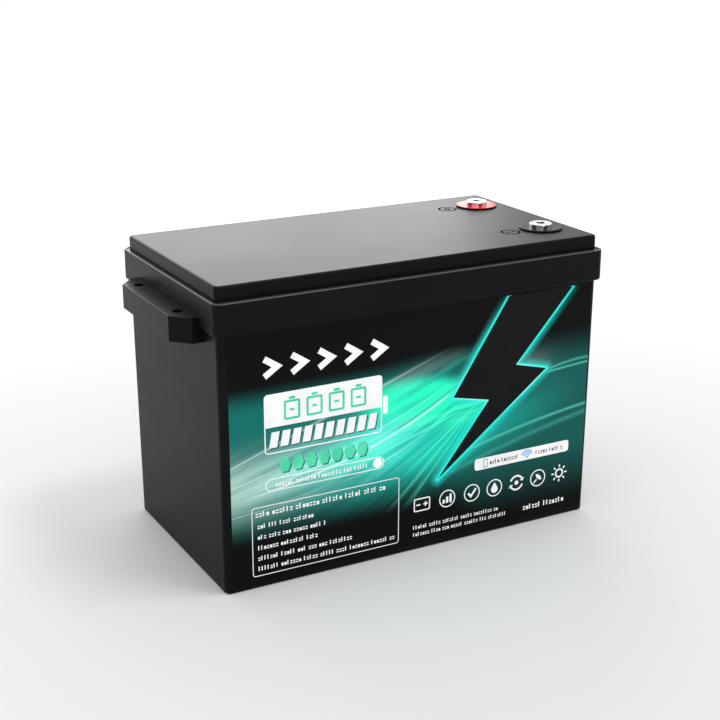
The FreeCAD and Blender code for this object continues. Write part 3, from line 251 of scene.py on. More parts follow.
def place_fields(tree, stretch=(1.0, 1.0, 1.0)):
    """The surface point's x, y and z in metres, each times its stretch."""
    coordinates = tree.nodes.new("ShaderNodeTexCoord")
    split = tree.nodes.new("ShaderNodeSeparateXYZ")
    tree.links.new(coordinates.outputs["Object"], split.inputs[0])
    return [Field(tree, split.outputs[axis]) * stretch[axis] for axis in range(3)]


def joined(tree, x, y, z):
    node = tree.nodes.new("ShaderNodeCombineXYZ")
    for index, value in enumerate((x, y, z)):
        plug(tree, value, node.inputs[index])
    return node.outputs[0]


def noise(tree, vector, scale, detail=2.0, roughness=0.5):
    node = tree.nodes.new("ShaderNodeTexNoise")
    node.inputs["Scale"].default_value = scale
    node.inputs["Detail"].default_value = detail
    node.inputs["Roughness"].default_value = roughness
    tree.links.new(vector, node.inputs["Vector"])
    return Field(tree, node.outputs["Fac"])


def mixed(tree, factor, first, second):
    """Colour between first, where the factor is 0, and second, where it is 1."""
    node = tree.nodes.new("ShaderNodeMix")
    node.data_type = "RGBA"
    plug(tree, factor, node.inputs[0])
    plug(tree, first, node.inputs[6])
    plug(tree, second, node.inputs[7])
    return node.outputs[2]


def bumped(tree, height, distance):
    """Relief as deep as the distance in metres where the height is 1."""
    node = tree.nodes.new("ShaderNodeBump")
    node.inputs["Strength"].default_value = 1.0
    node.inputs["Distance"].default_value = distance
    plug(tree, height, node.inputs["Height"])
    return node.outputs[0]


def new_material(name, metallic=0.0, specular=0.5):
    material = bpy.data.materials.new(name)
    material.use_nodes = True
    shader = material.node_tree.nodes["Principled BSDF"]
    shader.inputs["Metallic"].default_value = metallic
    shader.inputs["Specular IOR Level"].default_value = specular
    return material, material.node_tree, shader


def finish_shader(tree, shader, colour, roughness, height, depth):
    """Gives a shader its colour, its roughness and a relief of the height, depth metres deep."""
    plug(tree, colour, shader.inputs["Base Color"])
    plug(tree, roughness, shader.inputs["Roughness"])
    plug(tree, bumped(tree, height, depth), shader.inputs["Normal"])


# ---------------------------------------------------------------- materials

def varied(name, dark, light, patch, rough, grain, depth, stretch=(1.0, 1.0, 1.0), **gloss):
    """Surface with patches between two colours, uneven roughness and a fine grain in relief.

    patch and grain are the sizes of the patches and of the grain, in metres.
    """
    material, tree, shader = new_material(name, **gloss)
    vector = joined(tree, *place_fields(tree, stretch))
    cloud = noise(tree, vector, 1.0 / patch)
    fine = noise(tree, vector, 1.0 / grain, 3.0, 0.6)
    colour = mixed(tree, cloud.ramp(0.3, 0.7), dark, light)
    uneven = cloud * 0.5 + fine * 0.5
    roughness = uneven.ramp(0.25, 0.75) * (rough[1] - rough[0]) + rough[0]
    finish_shader(tree, shader, colour, roughness, fine, depth)
    return material


def moulded_black(name, tint, rough, sheen):
    """Satin moulded plastic: spark-eroded grain, a soft orange peel and faint flow marks.

    sheen gets the surface point's place, and says how shiny the plastic is and how much
    its edge is lightened there with painted light.
    """
    material, tree, shader = new_material(name)
    x, y, z = place_fields(tree)
    vector = joined(tree, x, y, z)
    flow = noise(tree, joined(tree, x, y, z * 2.5), 9.0, 3.0)
    peel = noise(tree, vector, 260.0, 1.0)
    grain = noise(tree, vector, 2600.0, 2.0)
    darker = tuple(channel * 0.72 for channel in tint)
    lighter = tuple(channel * 1.25 for channel in tint)
    speck = (flow * 0.6 + grain * 0.4).ramp(0.35, 0.65)
    shine, painted_light = sheen(x, y, z)
    # Painted light: the edges that sheen picks are mixed towards a lighter grey
    colour = mixed(tree, painted_light, mixed(tree, speck, darker, lighter), PAINTED_LIGHT_GREY)
    plug(tree, shine, shader.inputs["Specular IOR Level"])
    roughness = rough + (flow - 0.5) * 0.10 + (grain - 0.5) * 0.08
    finish_shader(tree, shader, colour, roughness, peel * 0.4 + grain * 0.6, 0.00003)
    return material


def case_sheen(x, y, z):
    """The lip round the rim is shinier than the walls and lightened with a painted highlight; the lugs
    are shinier on top.
    """
    lip = z.ramp(RIM_TOP - 1.0 * MM, RIM_TOP - 0.3 * MM)
    outside = x.math("ABSOLUTE").ramp(RIM_END, RIM_END + 0.3 * MM)
    lug_top = outside * z.ramp(LUG_TOP - 0.4 * MM, LUG_TOP - 0.1 * MM)
    # The second value is a painted highlight: how much the lip's colour is lightened
    return lip * 0.43 + lug_top * 0.10 + 0.07, lip * 0.9


def lid_sheen(x, y, z):
    """The lid is shiniest on top, its ledge is lightened with painted light, and the polarity marks are
    matt.
    """
    ledge = 1.0 - z.ramp(LEDGE_TOP, LEDGE_TOP + 0.2 * MM)
    top = z.ramp(LID_TOP - 2.0 * MM, LID_TOP - 0.4 * MM)
    across = x - (POST_MIDDLE.x - MARK_SETBACK)
    beside = y.math("ABSOLUTE") - POST_MIDDLE.y
    near_mark = 1.0 - (across * across + beside * beside).math("SQRT").ramp(*MARK_FADES)
    engraved = near_mark * (1.0 - z.ramp(LID_TOP - 0.3 * MM, LID_TOP - 0.1 * MM))
    # The second value is painted light on the ledge at the foot of the lid's wall, where shade falls
    return (top * 0.02 + ledge * 0.30 + 0.055) * (1.0 - engraved), ledge * 0.5


def turned_plate(name):
    """Bright nickel plate over turned metal: fine rings on top, painted dark reflections as upright
    streaks round the side.
    """
    material, tree, shader = new_material(name, metallic=1.0)
    x, y, z = place_fields(tree)
    across = x - POST_MIDDLE.x
    beside = y - y.math("SIGN") * POST_MIDDLE.y
    radius = (across * across + beside * beside).math("SQRT")
    rings = (radius * (2.0 * math.pi / LATHE_PITCH)).math("SINE")
    stain = noise(tree, joined(tree, x, y, z), 220.0, 3.0)
    turn = beside.math("ARCTAN2", across)
    # Painted reflection: dark upright streaks mixed into the plate's colour round the post's side
    streak = (turn * PAINTED_REFLECTION_COUNT + PAINTED_REFLECTION_START).math("COSINE").ramp(0.1, 0.6)
    side = 1.0 - z.ramp(POST_HIGH.z - 0.6 * MM, POST_HIGH.z - 0.4 * MM)
    plate = mixed(tree, stain.ramp(0.35, 0.7), (0.90, 0.90, 0.91), (0.78, 0.78, 0.80))
    colour = mixed(tree, side * streak * 0.85, plate, PAINTED_REFLECTION_DARK)
    finish_shader(tree, shader, colour, stain * 0.12 + 0.05, rings * 0.5 + stain, 0.000004)
    return material


def gloss_insert(name, dark, light, specular):
    """Glossy moulded insert with a faint swirl and fine dust."""
    material, tree, shader = new_material(name, specular=specular)
    x, y, z = place_fields(tree)
    vector = joined(tree, x, y, z)
    swirl = noise(tree, vector, 120.0, 2.0)
    dust = noise(tree, vector, 3000.0, 1.0)
    colour = mixed(tree, swirl.ramp(0.35, 0.65), dark, light)
    roughness = swirl * 0.10 + dust.ramp(0.62, 0.75) * 0.2 + 0.06
    finish_shader(tree, shader, colour, roughness, swirl, 0.00002)
    return material


def brushed_metal(name, dark, light, rough):
    """Metal with lines along X from rolling or drawing."""
    return varied(
        name, dark, light, patch=0.012, rough=rough, grain=0.0006, depth=0.000015,
        stretch=(0.08, 1.0, 1.0), metallic=1.0)


def woven_sheet(name, dark, light):
    """Glass-cloth sheet: a fine plain weave under clear resin."""
    material, tree, shader = new_material(name)
    x, y, z = place_fields(tree)
    turns = 2.0 * math.pi / WEAVE_PITCH
    warp = ((x + y) * turns).math("SINE")
    weft = (z * turns).math("SINE")
    weave = (warp * weft) * 0.5 + 0.5
    colour = mixed(tree, weave, dark, light)
    finish_shader(tree, shader, colour, weave * 0.15 + 0.3, weave, 0.00002)
    return material


def circuit_board(name):
    """Green solder mask, lighter and raised along the net of copper tracks under it."""
    material, tree, shader = new_material(name)
    x, y, z = place_fields(tree)
    cells = tree.nodes.new("ShaderNodeTexVoronoi")
    cells.distance = "CHEBYCHEV"
    cells.inputs["Scale"].default_value = 160.0
    tree.links.new(joined(tree, x, y, z), cells.inputs["Vector"])
    spacing = Field(tree, cells.outputs["Distance"])
    tracks = spacing.ramp(0.42, 0.48)
    colour = mixed(tree, tracks, (0.008, 0.11, 0.035), (0.02, 0.24, 0.08))
    finish_shader(tree, shader, colour, tracks * 0.1 + 0.25, tracks, 0.00004)
    return material


def foam(name, dark, light):
    """Closed-cell foam with small open bubbles on its cut faces, darker inside each bubble as painted
    shade.
    """
    material, tree, shader = new_material(name, specular=0.2)
    bubbles = tree.nodes.new("ShaderNodeTexVoronoi")
    bubbles.inputs["Scale"].default_value = 900.0
    tree.links.new(joined(tree, *place_fields(tree)), bubbles.inputs["Vector"])
    depth = Field(tree, bubbles.outputs["Distance"])
    # Painted shade: the colour darkens towards each bubble's hollow middle
    colour = mixed(tree, depth.ramp(0.1, 0.7), dark, light)
    finish_shader(tree, shader, colour, depth * 0.1 + 0.85, depth, 0.0002)
    return material


# ---------------------------------------------------------------- the label's film

def segment_distance(x, z, start, end):
    """Distance in millimetres from the surface point to a straight line between two points."""
    run_x = end[0] - start[0]
    run_z = end[1] - start[1]
    square = run_x ** 2 + run_z ** 2
    along = (((x - start[0]) * run_x + (z - start[1]) * run_z) / square).clamp()
    off_x = x - start[0] - along * run_x
    off_z = z - start[1] - along * run_z
    return (off_x * off_x + off_z * off_z).math("SQRT")


def bolt_distance(x, z):
    """Distance in millimetres to the bolt's nearest edge, without its cut-off top."""
    edges = list(zip(BOLT[1:], BOLT[2:])) + [(BOLT[-1], BOLT[0])]
    nearest = segment_distance(x, z, *edges[0])
    for edge in edges[1:]:
        nearest = nearest.math("MINIMUM", segment_distance(x, z, *edge))
    return nearest


def thin_arc(x, z, start, rise, bend, width):
    """Thin line of light that starts at a point and bends as it runs to the right."""
    along = x - start[0]
    line = along * rise + along * along * bend + start[1]
    return z.bell(line, width) * along.ramp(-4.0, 8.0)


def thin_arcs(x, z):
    """All the thin lines of light together."""
    arcs = [thin_arc(x, z, *course) * strength for *course, strength in LIGHT_ARCS]
    return sum(arcs[1:], arcs[0]).clamp()


def fan_fields(tree, x, z):
    """How far up the sheaf of light a point lies, 0 to 1, with its broad and fine streaks."""
    share = ((x + 168.0) / 203.0).clamp()
    lower = share * share * share * 55.0 + 53.0
    upper = x * FAN_RISE + 164.0
    across = (z - lower) / (upper - lower)
    broad = noise(tree, joined(tree, across * 7.0, x * 0.006, 3.1), 1.0, 2.0, 0.55)
    fine = noise(tree, joined(tree, across * 30.0, x * 0.004, 8.4), 1.0, 3.0, 0.6)
    return across, broad, fine


def light_ground(tree, x, z):
    """Dark teal ground that brightens to cyan, then to mint, left of the bolt."""
    ground = mixed(tree, x.ramp(-60.0, 90.0), FILM_TEAL, FILM_DARK_TEAL)
    glow = x.bell(6.0, 62.0) * z.bell(106.0, 38.0)
    ground = mixed(tree, glow.ramp(0.10, 0.72), ground, LIGHT_CYAN)
    core = x.bell(12.0, 68.0) * (z + x * 0.15).bell(131.0, 24.0)
    return mixed(tree, core.ramp(0.25, 0.72), ground, LIGHT_MINT)


def sheaf(x, z):
    """1 along the middle of the white sheaf on the left, with a sharper upper side."""
    offset = z - (x * 0.12 + 109.0)
    above = offset.math("MAXIMUM", 0.0).bell(0.0, 19.0)
    below = offset.math("MINIMUM", 0.0).bell(0.0, 29.0)
    return above * below * (1.0 - x.ramp(-45.0, 25.0))


def with_streaks(tree, ground, x, z):
    """Adds the white sheaf on the left and the thin lines that fan out over it."""
    across, broad, fine = fan_fields(tree, x, z)
    pale = mixed(tree, x.ramp(-165.0, -20.0), SHEAF_PALE, SHEAF_CYAN)
    veil = sheaf(x, z) * (broad.ramp(0.30, 0.60) * 0.55 + 0.45)
    colour = mixed(tree, veil, ground, pale)
    inside = across.ramp(-0.04, 0.06) * (1.0 - across.ramp(0.86, 1.02))
    folds = inside * broad.ramp(0.52, 0.40) * x.ramp(-40.0, 0.0) * (1.0 - x.ramp(50.0, 110.0))
    colour = mixed(tree, folds * 0.5, colour, FOLD_TEAL)
    lines = inside * fine.ramp(0.60, 0.72) * (1.0 - x.ramp(-10.0, 70.0)) * 0.42
    colour = mixed(tree, lines, colour, LIGHT_WHITE)
    centre = across.bell(0.42, 0.012) * x.ramp(-170.0, -120.0) * (1.0 - x.ramp(20.0, 40.0))
    edge = across.bell(0.99, 0.014) * (1.0 - x.ramp(0.0, 70.0))
    return mixed(tree, (centre + edge * 0.5).clamp() * 0.7, colour, LIGHT_WHITE)


def with_rays(tree, ground, x, z):
    """Adds rays that run down to the left from the bolt's waist, with dark gaps between them."""
    left = RAYS_MEET[0] - x
    below = RAYS_MEET[1] - z
    turn = below.math("ARCTAN2", left)
    length = (left * left + below * below).math("SQRT")
    streak = noise(tree, joined(tree, turn * 13.0, length * 0.004, 5.2), 1.0, 2.0, 0.6)
    inside = turn.ramp(0.04, 0.20) * (1.0 - turn.ramp(0.80, 1.05)) * x.ramp(-120.0, -30.0)
    colour = mixed(tree, inside * streak.ramp(0.50, 0.36) * 0.7, ground, GAP_TEAL)
    colour = mixed(tree, inside * streak.ramp(0.52, 0.70) * 0.7, colour, RAY_MINT)
    edge = (z - x * FAN_RISE).bell(158.0, 7.0) * x.ramp(-40.0, 5.0) * (1.0 - x.ramp(35.0, 60.0))
    return mixed(tree, edge * 0.22, colour, RAY_EDGE)


def with_far_glow(tree, ground, x, z, distance):
    """Brightens the ground right of the bolt towards it, and hazes the notch on that side."""
    right_of_bolt = ((x - BOLT_TIP[0]) * BOLT_EDGE_SLOPE - (z - BOLT_TIP[1])).ramp(-2.0, 2.0)
    glow = right_of_bolt * (1.0 - distance.ramp(2.0, 52.0)) * z.bell(98.0, 22.0)
    colour = mixed(tree, glow * 0.36, ground, FAR_CYAN)
    haze = x.bell(112.0, 20.0) * z.bell(151.0, 13.0)
    return mixed(tree, haze * 0.20, colour, HAZE_GREY)


def shade_masks(x, z):
    """1 where the print is lit, falling to 0 towards the black top and foot of the label."""
    high = x.ramp(-60.0, 40.0) * 6.0 + 171.0
    full = high - 24.0 - x.ramp(60.0, 120.0) * 20.0
    lit_below = 1.0 - z.ramp(full, high)
    right = x.ramp(20.0, 70.0)
    foot = 36.0 - right * 26.0
    lit_above = ((z - foot) / (right * 30.0 + 38.0)).ramp(0.0, 1.0)
    return lit_below * lit_above


def label_film(name, turn):
    """Printed film: light sweeps over a teal ground that fades to black above and below."""
    material, tree, shader = new_material(name, specular=0.05)
    x, y, z = place_fields(tree, (turn / ART_UNIT, 1.0, 1.0 / ART_UNIT))
    x = x + (ART_LEFT - FILM_LOW.x / ART_UNIT)
    z = z + (ART_LOW - FILM_LOW.z / ART_UNIT)
    distance = bolt_distance(x, z)
    colour = with_rays(tree, with_streaks(tree, light_ground(tree, x, z), x, z), x, z)
    colour = with_far_glow(tree, colour, x, z, distance)
    colour = mixed(tree, thin_arcs(x, z), colour, ARC_CYAN)
    colour = mixed(tree, shade_masks(x, z), FILM_BLACK, colour)
    halo = 1.0 - distance.ramp(0.0, 9.0)
    colour = mixed(tree, halo * z.ramp(225.0, 160.0) * 0.55, colour, HALO_CYAN)
    rim = 1.0 - distance.ramp(1.0, 3.0)
    colour = mixed(tree, rim, colour, BOLT_RIM_CYAN)
    hot = (1.0 - distance.ramp(0.2, 1.7)) * x.bell(80.0, 34.0) * z.bell(134.0, 14.0)
    colour = mixed(tree, hot, colour, HOT_WHITE)
    screen = noise(tree, joined(tree, x, y, z), 2.2, 1.0)
    colour = mixed(tree, screen.ramp(0.55, 0.8) * 0.05, colour, FILM_BLACK)
    ripple = noise(tree, joined(tree, x, y, z), 0.035, 2.0)
    roughness = ripple * 0.12 + screen * 0.06 + 0.24
    finish_shader(tree, shader, colour, roughness, ripple + screen * 0.02, 0.00008)
    return material


def ink(name, dark, light):
    """Screen-printed ink: slightly uneven in colour, with a fine mesh texture."""
    material, tree, shader = new_material(name, specular=0.08)
    x, y, z = place_fields(tree)
    cloud = noise(tree, joined(tree, x, y, z), 60.0, 2.0)
    turns = 2.0 * math.pi / MESH_PITCH
    mesh = ((x + z) * turns).math("SINE") * ((x - z) * turns).math("SINE")
    colour = mixed(tree, cloud.ramp(0.3, 0.7), dark, light)
    finish_shader(tree, shader, colour, cloud * 0.1 + mesh * 0.03 + 0.4, mesh, 0.000008)
    return material


# ---------------------------------------------------------------- flat shapes for the print

def arc_points(x, z, radius, start, end, steps=ARC_STEPS):
    """Points of an arc, from start to end in degrees, anticlockwise."""
    points = []
    for step in range(steps + 1):
        angle = math.radians(start + (end - start) * step / steps)
        points.append((x + radius * math.cos(angle), z + radius * math.sin(angle)))
    return points


def block_points(left, low, right, high, corner):
    """Rectangle with round corners, anticlockwise from its lower left."""
    corner = min(corner, (right - left) / 2.0, (high - low) / 2.0)
    points = arc_points(left + corner, low + corner, corner, 180.0, 270.0)
    points += arc_points(right - corner, low + corner, corner, 270.0, 360.0)
    points += arc_points(right - corner, high - corner, corner, 0.0, 90.0)
    points += arc_points(left + corner, high - corner, corner, 90.0, 180.0)
    return points


def stroke_points(line, width):
    """Outline of an open line of straight runs with mitred joints."""
    half = width / 2.0
    runs = [Vector(b) - Vector(a) for a, b in zip(line, line[1:])]
    normals = [Vector((-run.y, run.x)).normalized() for run in runs]
    one_side = []
    other_side = []
    for index, point in enumerate(line):
        before = normals[max(index - 1, 0)]
        after = normals[min(index, len(normals) - 1)]
        across = (before + after).normalized()
        offset = across * (half / across.dot(after))
        one_side.append(tuple(Vector(point) + offset))
        other_side.append(tuple(Vector(point) - offset))
    return other_side + one_side[::-1]


def walled(shapes, first, second):
    """Faces between two closed lines with the same number of points."""
    for index in range(len(first)):
        following = (index + 1) % len(first)
        shapes.faces.new((first[index], first[following], second[following], second[index]))


class Print:
    """All the print of one ink on the front label, as thin closed solids on the film."""

    def __init__(self, height):
        self.shapes = bmesh.new()
        self.height = height

    def lifted(self, outline, lift):
        return [self.shapes.verts.new(on_film(x, z, lift)) for x, z in outline]

    def fill(self, outline):
        back = self.lifted(outline, INK_BACK)
        face = self.lifted(outline, self.height)
        self.shapes.faces.new(face)
        self.shapes.faces.new(back[::-1])
        walled(self.shapes, back, face)

    def band(self, outer, inner):
        """Closed line between two outlines with the same number of points."""
        faces = [self.lifted(outer, self.height), self.lifted(inner, self.height)]
        backs = [self.lifted(outer, INK_BACK), self.lifted(inner, INK_BACK)]
        walled(self.shapes, faces[1], faces[0])
        walled(self.shapes, backs[0], backs[1])
        walled(self.shapes, backs[0], faces[0])
        walled(self.shapes, faces[1], backs[1])

    def block(self, left, low, right, high, corner):
        self.fill(block_points(left, low, right, high, corner))

    def frame(self, left, low, right, high, corner, line):
        outer = block_points(left, low, right, high, corner)
        inner = block_points(left + line, low + line, right - line, high - line, corner - line)
        self.band(outer, inner)

    def ring(self, x, z, outer, inner):
        self.band(arc_points(x, z, outer, 0.0, 360.0, ROUND_STEPS)[:-1],
                  arc_points(x, z, inner, 0.0, 360.0, ROUND_STEPS)[:-1])

    def disc(self, x, z, radius):
        self.fill(arc_points(x, z, radius, 0.0, 360.0, ROUND_STEPS)[:-1])

    def arc(self, x, z, radius, width, start, end):
        outer = arc_points(x, z, radius + width / 2.0, start, end, BOW_STEPS)
        inner = arc_points(x, z, radius - width / 2.0, start, end, BOW_STEPS)
        self.fill(outer + inner[::-1])

    def stroke(self, line, width):
        self.fill(stroke_points(line, width))

    def small_print(self, left, right, low, height, seed):
        """Row of small abstract marks in word-like groups, with no letters in it."""
        chance = random.Random(seed)
        unit = height * 0.5
        x = left
        while x < right - unit:
            for _ in range(chance.randint(3, 8)):
                if x > right - unit:
                    break
                self.small_mark(x, low, unit, height, chance.random())
                x += unit * 1.35
            x += unit * 0.9

    def small_mark(self, x, low, width, height, kind):
        """One mark: an upright bar, two level bars or a squat block, as kind says, 0 to 1."""
        bar = height * 0.24
        if kind < 0.35:
            self.block(x, low, x + bar, low + height, bar / 4.0)
        elif kind < 0.75:
            self.block(x, low, x + width, low + bar, bar / 4.0)
            self.block(x, low + height * 0.48, x + width, low + height * 0.48 + bar, bar / 4.0)
        else:
            self.block(x, low, x + width, low + height * 0.68, bar / 2.0)


def on_film(x, z, lift):
    """Point in space for a place in the artwork, lift millimetres in front of the film."""
    across = FILM_LOW.x + (x - ART_LEFT) * ART_UNIT
    height = FILM_LOW.z + (z - ART_LOW) * ART_UNIT
    return Vector((across, FILM_LOW.y + (FILM_HIGH.z - height) * WALL_LEAN - lift * MM, height))


# ---------------------------------------------------------------- the label's artwork

def chevrons(white):
    """Row of five bold arrow heads, where a maker would print a name."""
    for index in range(5):
        x = -137.0 + index * 23.5
        white.stroke([(x, 176.4), (x + 11.0, 183.6), (x, 190.8)], 5.2)


def battery_badge(white):
    """Outline of a battery with its nub, filled white above and open below."""
    left, right = -138.0, -33.5
    low, split, high = 112.0, 134.0, 161.5
    corner, line = 3.2, 1.0
    top = [(left, split), (right, split)]
    top += arc_points(right - corner, high - corner, corner, 0.0, 90.0)
    top += arc_points(left + corner, high - corner, corner, 90.0, 180.0)
    white.fill(top)
    outer = [(left, split)] + arc_points(left + corner, low + corner, corner, 180.0, 270.0)
    outer += arc_points(right - corner, low + corner, corner, 270.0, 360.0) + [(right, split)]
    inner = [(left + line, split)]
    inner += arc_points(left + corner, low + corner, corner - line, 180.0, 270.0)
    inner += arc_points(right - corner, low + corner, corner - line, 270.0, 360.0)
    inner += [(right - line, split)]
    white.fill(outer + inner[::-1])
    white.block(-32.6, 127.5, -28.2, 143.0, 1.6)


def cell_symbols(green):
    """Four upright cells with their caps: the battery holds four in series."""
    for index in range(4):
        x = -121.0 + index * 19.6
        green.frame(x, 138.2, x + 14.2, 154.4, 1.8, 1.9)
        green.block(x + 4.4, 154.9, x + 9.8, 157.2, 0.5)
        green.block(x + 5.0, 145.4, x + 9.2, 147.2, 0.4)


def gauge(ink_print, shift_x, shift_z):
    """Ten slanted blocks of a charge gauge."""
    for index in range(10):
        x = -134.2 + index * 9.7 + shift_x
        low = 116.9 + shift_z
        high = 129.9 + shift_z
        lean = 2.4
        ink_print.fill([(x, low), (x + 6.9, low), (x + 6.9 + lean, high), (x + lean, high)])


def lozenges(ink_print, shift_x, shift_z):
    """Row of seven six-sided blocks."""
    for index in range(7):
        x = -120.4 + index * 11.5 + shift_x
        z = 101.0 + shift_z
        ink_print.fill([(x - 5.0, z), (x - 2.6, z - 6.2), (x + 2.6, z - 6.2),
                        (x + 5.0, z), (x + 2.6, z + 6.2), (x - 2.6, z + 6.2)])


def address_pill(white):
    white.frame(-138.0, 80.2, -31.0, 91.0, 5.4, 0.75)
    white.small_print(-129.0, -46.0, 83.6, 3.9, 11)
    white.disc(-37.2, 85.6, 4.3)


def notes_box(white):
    """Outlined box with a heading and five lines of small print."""
    white.frame(-150.5, 9.0, -16.5, 69.0, 2.6, 0.65)
    white.small_print(-147.0, -28.0, 60.6, 4.6, 21)
    lines = ((52.25, -94.0), (43.0, -83.5), (33.75, -92.5), (24.5, -59.0), (15.5, -19.0))
    for index, (middle, right) in enumerate(lines):
        white.small_print(-145.5, right, middle - 1.9, 3.9, 31 + index)


def feature_pill(white, grey, blue):
    """White pill with a handset, a wireless symbol and two short lines of small print."""
    white.block(57.5, 59.2, 155.5, 69.8, 2.6)
    grey.frame(66.4, 60.6, 70.4, 68.4, 0.7, 0.5)
    grey.small_print(73.0, 103.0, 62.6, 3.8, 51)
    blue.disc(111.2, 61.9, 0.9)
    for radius in (2.6, 4.6, 6.4):
        blue.arc(111.2, 61.9, radius, 0.9, 25.0, 155.0)
    grey.small_print(120.5, 150.0, 62.6, 3.8, 52)


def icon_levels(white, x, z):
    white.ring(x, z, ICON_OUTER, ICON_INNER)
    for index in range(3):
        left = x - 4.6 + index * 3.4
        white.block(left, z - 4.0, left + 2.2, z - 0.4 + index * 2.2, 0.3)


def icon_tick(white, x, z):
    white.ring(x, z, ICON_OUTER, ICON_INNER)
    white.stroke([(x - 3.8, z + 0.2), (x - 1.0, z - 3.0), (x + 4.0, z + 3.6)], 1.9)


def icon_loop(white, x, z):
    """Two arrows that chase each other."""
    for turn in (0.0, 180.0):
        white.arc(x, z, 6.4, 1.7, turn + 25.0, turn + 160.0)
        tip = math.radians(turn + 8.0)
        heel = math.radians(turn + 27.0)
        white.fill([
            (x + 6.4 * math.cos(tip), z + 6.4 * math.sin(tip)),
            (x + 9.0 * math.cos(heel), z + 9.0 * math.sin(heel)),
            (x + 3.8 * math.cos(heel), z + 3.8 * math.sin(heel)),
        ])
    white.disc(x, z, 2.0)


def icon_drop(white, x, z):
    white.ring(x, z, ICON_OUTER, ICON_INNER)
    white.fill(arc_points(x, z - 1.4, 3.4, 150.0, 390.0, BOW_STEPS) + [(x, z + 5.2)])


def icon_leaf(white, x, z):
    white.ring(x, z, ICON_OUTER, ICON_INNER)
    blade = arc_points(x - 2.2, z - 2.2, 6.0, 0.0, 90.0)
    blade += arc_points(x + 3.8, z + 3.8, 6.0, 180.0, 270.0)
    white.fill(blade)
    white.stroke([(x - 4.4, z - 4.4), (x - 1.2, z - 1.2)], 1.2)


def icon_pair(white, x, z):
    """Two poles, plus and minus, side by side."""
    white.frame(x - 8.0, z - 6.0, x + 8.0, z + 6.0, 1.6, 1.1)
    white.block(x - 5.6, z - 0.6, x - 1.4, z + 0.6, 0.2)
    plus = [(1.4, -0.6), (2.9, -0.6), (2.9, -2.1), (4.1, -2.1), (4.1, -0.6), (5.6, -0.6),
            (5.6, 0.6), (4.1, 0.6), (4.1, 2.1), (2.9, 2.1), (2.9, 0.6), (1.4, 0.6)]
    white.fill([(x + dx, z + dz) for dx, dz in plus])


def icon_sun(white, x, z):
    white.ring(x, z, 4.4, 2.9)
    for step in range(8):
        angle = math.radians(45.0 * step)
        across = Vector((math.cos(angle), math.sin(angle)))
        centre = Vector((x, z))
        white.stroke([tuple(centre + across * 5.6), tuple(centre + across * 8.2)], 1.3)


def icon_row(white):
    """Seven plain symbols in a row."""
    icons = (icon_pair, icon_levels, icon_tick, icon_drop, icon_loop, icon_leaf, icon_sun)
    places = (5.75, 30.75, 55.5, 78.5, 101.5, 124.0, 147.0)
    for icon, x in zip(icons, places):
        icon(white, x, ICON_HEIGHT)


def foot_notes(white):
    white.small_print(-2.5, 84.5, 17.6, 3.5, 61)
    white.small_print(-2.5, 92.0, 11.1, 3.5, 62)
    white.small_print(109.5, 154.5, 11.6, 4.8, 63)


def label_prints():
    """Every ink of the front label with the print it makes."""
    shadow = Print(INK_LOW)
    white, mint, bolt = Print(INK_MIDDLE), Print(INK_MIDDLE), Print(INK_MIDDLE)
    green, grey, blue = Print(INK_HIGH), Print(INK_HIGH), Print(INK_HIGH)
    chevrons(white)
    battery_badge(white)
    cell_symbols(green)
    gauge(shadow, 0.9, -0.9)
    gauge(white, 0.0, 0.0)
    lozenges(shadow, 0.8, -0.9)
    lozenges(mint, 0.0, 0.0)
    address_pill(white)
    notes_box(white)
    feature_pill(white, grey, blue)
    icon_row(white)
    foot_notes(white)
    bolt.fill(BOLT)
    return {"white": white, "shadow": shadow, "green": green, "mint": mint,
            "grey": grey, "blue": blue, "bolt": bolt}


def add_piece(name, mesh, material):
    """Makes an object of a mesh and ties it to the battery's body."""
    mesh.materials.append(material)
    piece = bpy.data.objects.new(name, mesh)
    bpy.context.scene.collection.objects.link(piece)
    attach(piece, "root")


def add_label_prints():
    """The same artwork on both long walls: the rear one is turned half round."""
    half_turn = Matrix.Rotation(math.pi, 4, "Z")
    materials = {colour: ink("ink_" + colour, *shades) for colour, shades in INKS.items()}
    for colour, shapes in label_prints().items():
        bmesh.ops.recalc_face_normals(shapes.shapes, faces=shapes.shapes.faces)
        for side, turn in (("front", Matrix.Identity(4)), ("rear", half_turn)):
            mesh = bpy.data.meshes.new(side + "_print_" + colour)
            shapes.shapes.to_mesh(mesh)
            mesh.transform(turn)
            add_piece(mesh.name, mesh, materials[colour])
        shapes.shapes.free()


# ---------------------------------------------------------------- terminals

def swept(shapes, sections):
    """Joins sections with the same number of points into one closed solid."""
    rows = [[shapes.verts.new(point) for point in section] for section in sections]
    for before, after in zip(rows, rows[1:]):
        walled(shapes, before, after)
    shapes.faces.new(rows[0])
    shapes.faces.new(rows[-1][::-1])


def away_from_axis(step):
    """Level direction away from a post's axis after some of the steps of a turn."""
    angle = 2.0 * math.pi * step / THREAD_STEPS
    return Vector((math.cos(angle), math.sin(angle), 0.0))


